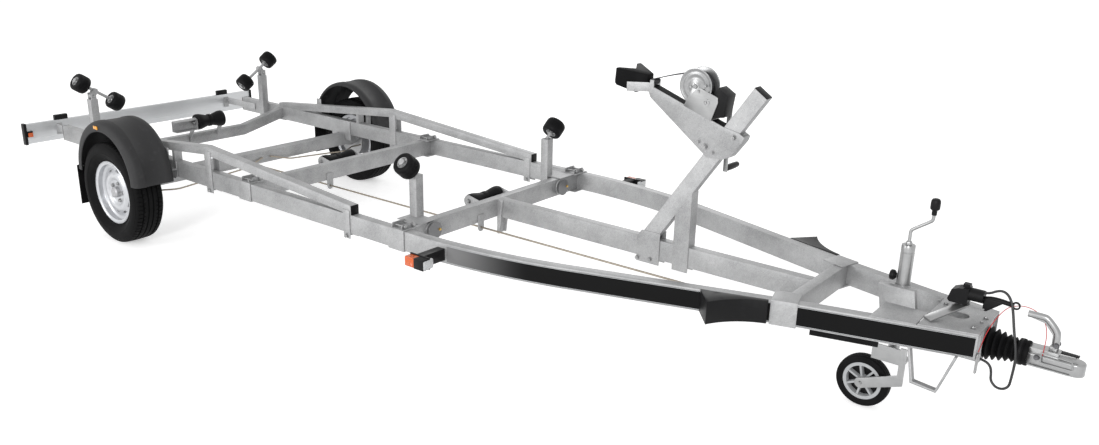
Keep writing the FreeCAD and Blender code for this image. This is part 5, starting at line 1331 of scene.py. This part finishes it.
def disc_faces():
    # Dull pressed faces of the two disc clamps, with a raised rim.
    profile = ((0.0, 0.0), (0.0475, 0.0), (0.0478, 0.0012), (0.047, 0.0022), (0.044, 0.0022),
               (0.0425, 0.001), (0.0, 0.001))
    return joined([turned(profile, (0.3892, y, DISC_Z), FORWARD, 56) for y in DISC_SIDES])


def head_shade_strips():
    # Painted shade: black strips along the top of the head where the opening between its cheek
    # plates lies in shadow, in front of and behind the frame.
    outlines = (((1.314, 1.2535), (1.488, 1.1902), (1.4865, 1.1862), (1.3125, 1.2495)),
                ((1.637, 1.1392), (1.694, 1.1185), (1.6925, 1.1145), (1.6355, 1.1352)))
    return joined([side_plate(outline, -0.024, 0.024, 0.001, 1) for outline in outlines])


made(clamp_ears, GALVANISED, "galvanised")
made(clamp_bolts)
made(foot_bolts)
made(post_plates, GALVANISED, "galvanised")
made(disc_bolts, BRASS)
made(disc_faces, DULL_ZINC)
made(head_shade_strips, BLACK_RUBBER, "black_rubber")


# Cords

PLUG_CABLE_ROUTE = (
    (2.87, -0.008, 0.637), (2.891, -0.009, 0.642), (2.911, -0.011, 0.657), (2.934, -0.013, 0.665),
    (2.957, -0.018, 0.656), (2.975, -0.026, 0.631), (2.989, -0.036, 0.59), (3.0, -0.048, 0.549),
    (3.013, -0.063, 0.51), (3.026, -0.074, 0.468), (3.033, -0.079, 0.424), (3.032, -0.08, 0.382),
    (3.03, -0.079, 0.345), (3.027, -0.077, 0.312), (3.007, -0.074, 0.292), (2.98, -0.071, 0.2905),
    (2.957, -0.066, 0.31), (2.954, -0.062, 0.34), (2.948, -0.061, 0.365), (2.929, -0.059, 0.381),
    (2.905, -0.058, 0.384),
)
BREAKAWAY_ROUTE = (
    (2.909, -0.128, 0.44), (2.914, -0.124, 0.47), (2.919, -0.112, 0.507), (2.929, -0.093, 0.545),
    (2.943, -0.069, 0.579), (2.957, -0.043, 0.601), (2.971, -0.016, 0.611), (2.999, 0.012, 0.6135),
    (3.026, 0.021, 0.612), (3.055, 0.022, 0.604), (3.082, 0.0185, 0.586), (3.102, 0.006, 0.558),
    (3.112, -0.013, 0.526), (3.114, -0.027, 0.491), (3.113, -0.03, 0.454),
)


def make_cord(name, route, diameter, finish, node):
    cord = round_line(name, route, diameter / 2, 4, 8)
    cord.data.materials.append(finish)
    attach(cord, "chassis")
    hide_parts(node)


make_cord("plug_lead", PLUG_CABLE_ROUTE, 0.01, BLACK_SHEATH,
          "plug_cable")
make_cord("breakaway_wire", BREAKAWAY_ROUTE, 0.003, RED_SHEATH,
          "breakaway_cable")


# Floor and light

FLOOR_SIZE = 60.0
WORLD_LEVEL = 0.58
FLOOR_GLOW = 0.47
LIGHT_TARGET = (0.0, 0.0, 0.4)


def seen_by(work, *rays):
    shares = [work.node("ShaderNodeLightPath", output=ray) for ray in rays]
    total = shares[0]
    for share in shares[1:]:
        total = total + share
    return total > 0.5


def place_floor():
    # The floor keeps the shadows, and a glow for the camera and reflections fades it into white.
    bpy.ops.mesh.primitive_plane_add(size=FLOOR_SIZE)
    floor = bpy.context.object
    floor.name = "studio_floor"
    f = Finish("studio_floor")
    f.set(Base_Color=(0.93, 0.93, 0.93), Roughness=0.9, Emission_Strength=FLOOR_GLOW)
    f.set(Emission_Color=seen_by(f, "Is Camera Ray", "Is Glossy Ray"))
    dress(floor, f.material)


def light_world():
    # White where it is seen, dimmer where it lights the trailer.
    world = bpy.data.worlds.new("studio")
    bpy.context.scene.world = world
    world.use_nodes = True
    world.node_tree.nodes.clear()
    w = NodeWork(world.node_tree)
    seen = seen_by(w, "Is Camera Ray", "Is Glossy Ray", "Is Transmission Ray")
    white = (1.0, 1.0, 1.0)
    backdrop = w.node("ShaderNodeBackground", None, {"Color": white, "Strength": 1.0})
    lit = w.node("ShaderNodeBackground", None, {"Color": white, "Strength": WORLD_LEVEL})
    mixed = w.node("ShaderNodeMixShader", None, {0: seen, 1: lit, 2: backdrop})
    w.node("ShaderNodeOutputWorld", None, {"Surface": mixed})


def area_light(name, place, size, power):
    data = bpy.data.lights.new(name, "AREA")
    data.shape = "SQUARE"
    data.size = size
    data.energy = power
    light = added(name, data)
    light.location = place
    aim = Vector(LIGHT_TARGET) - Vector(place)
    light.rotation_euler = aim.to_track_quat("-Z", "Y").to_euler()


place_floor()
light_world()
area_light("key_light", (6.0, -13.0, 5.5), 3.0, 1000.0)
area_light("side_light", (-6.0, -12.0, 4.0), 4.0, 420.0)
area_light("back_light", (-3.0, 7.0, 4.0), 3.0, 90.0)
bpy.context.scene.view_settings.view_transform = "Standard"
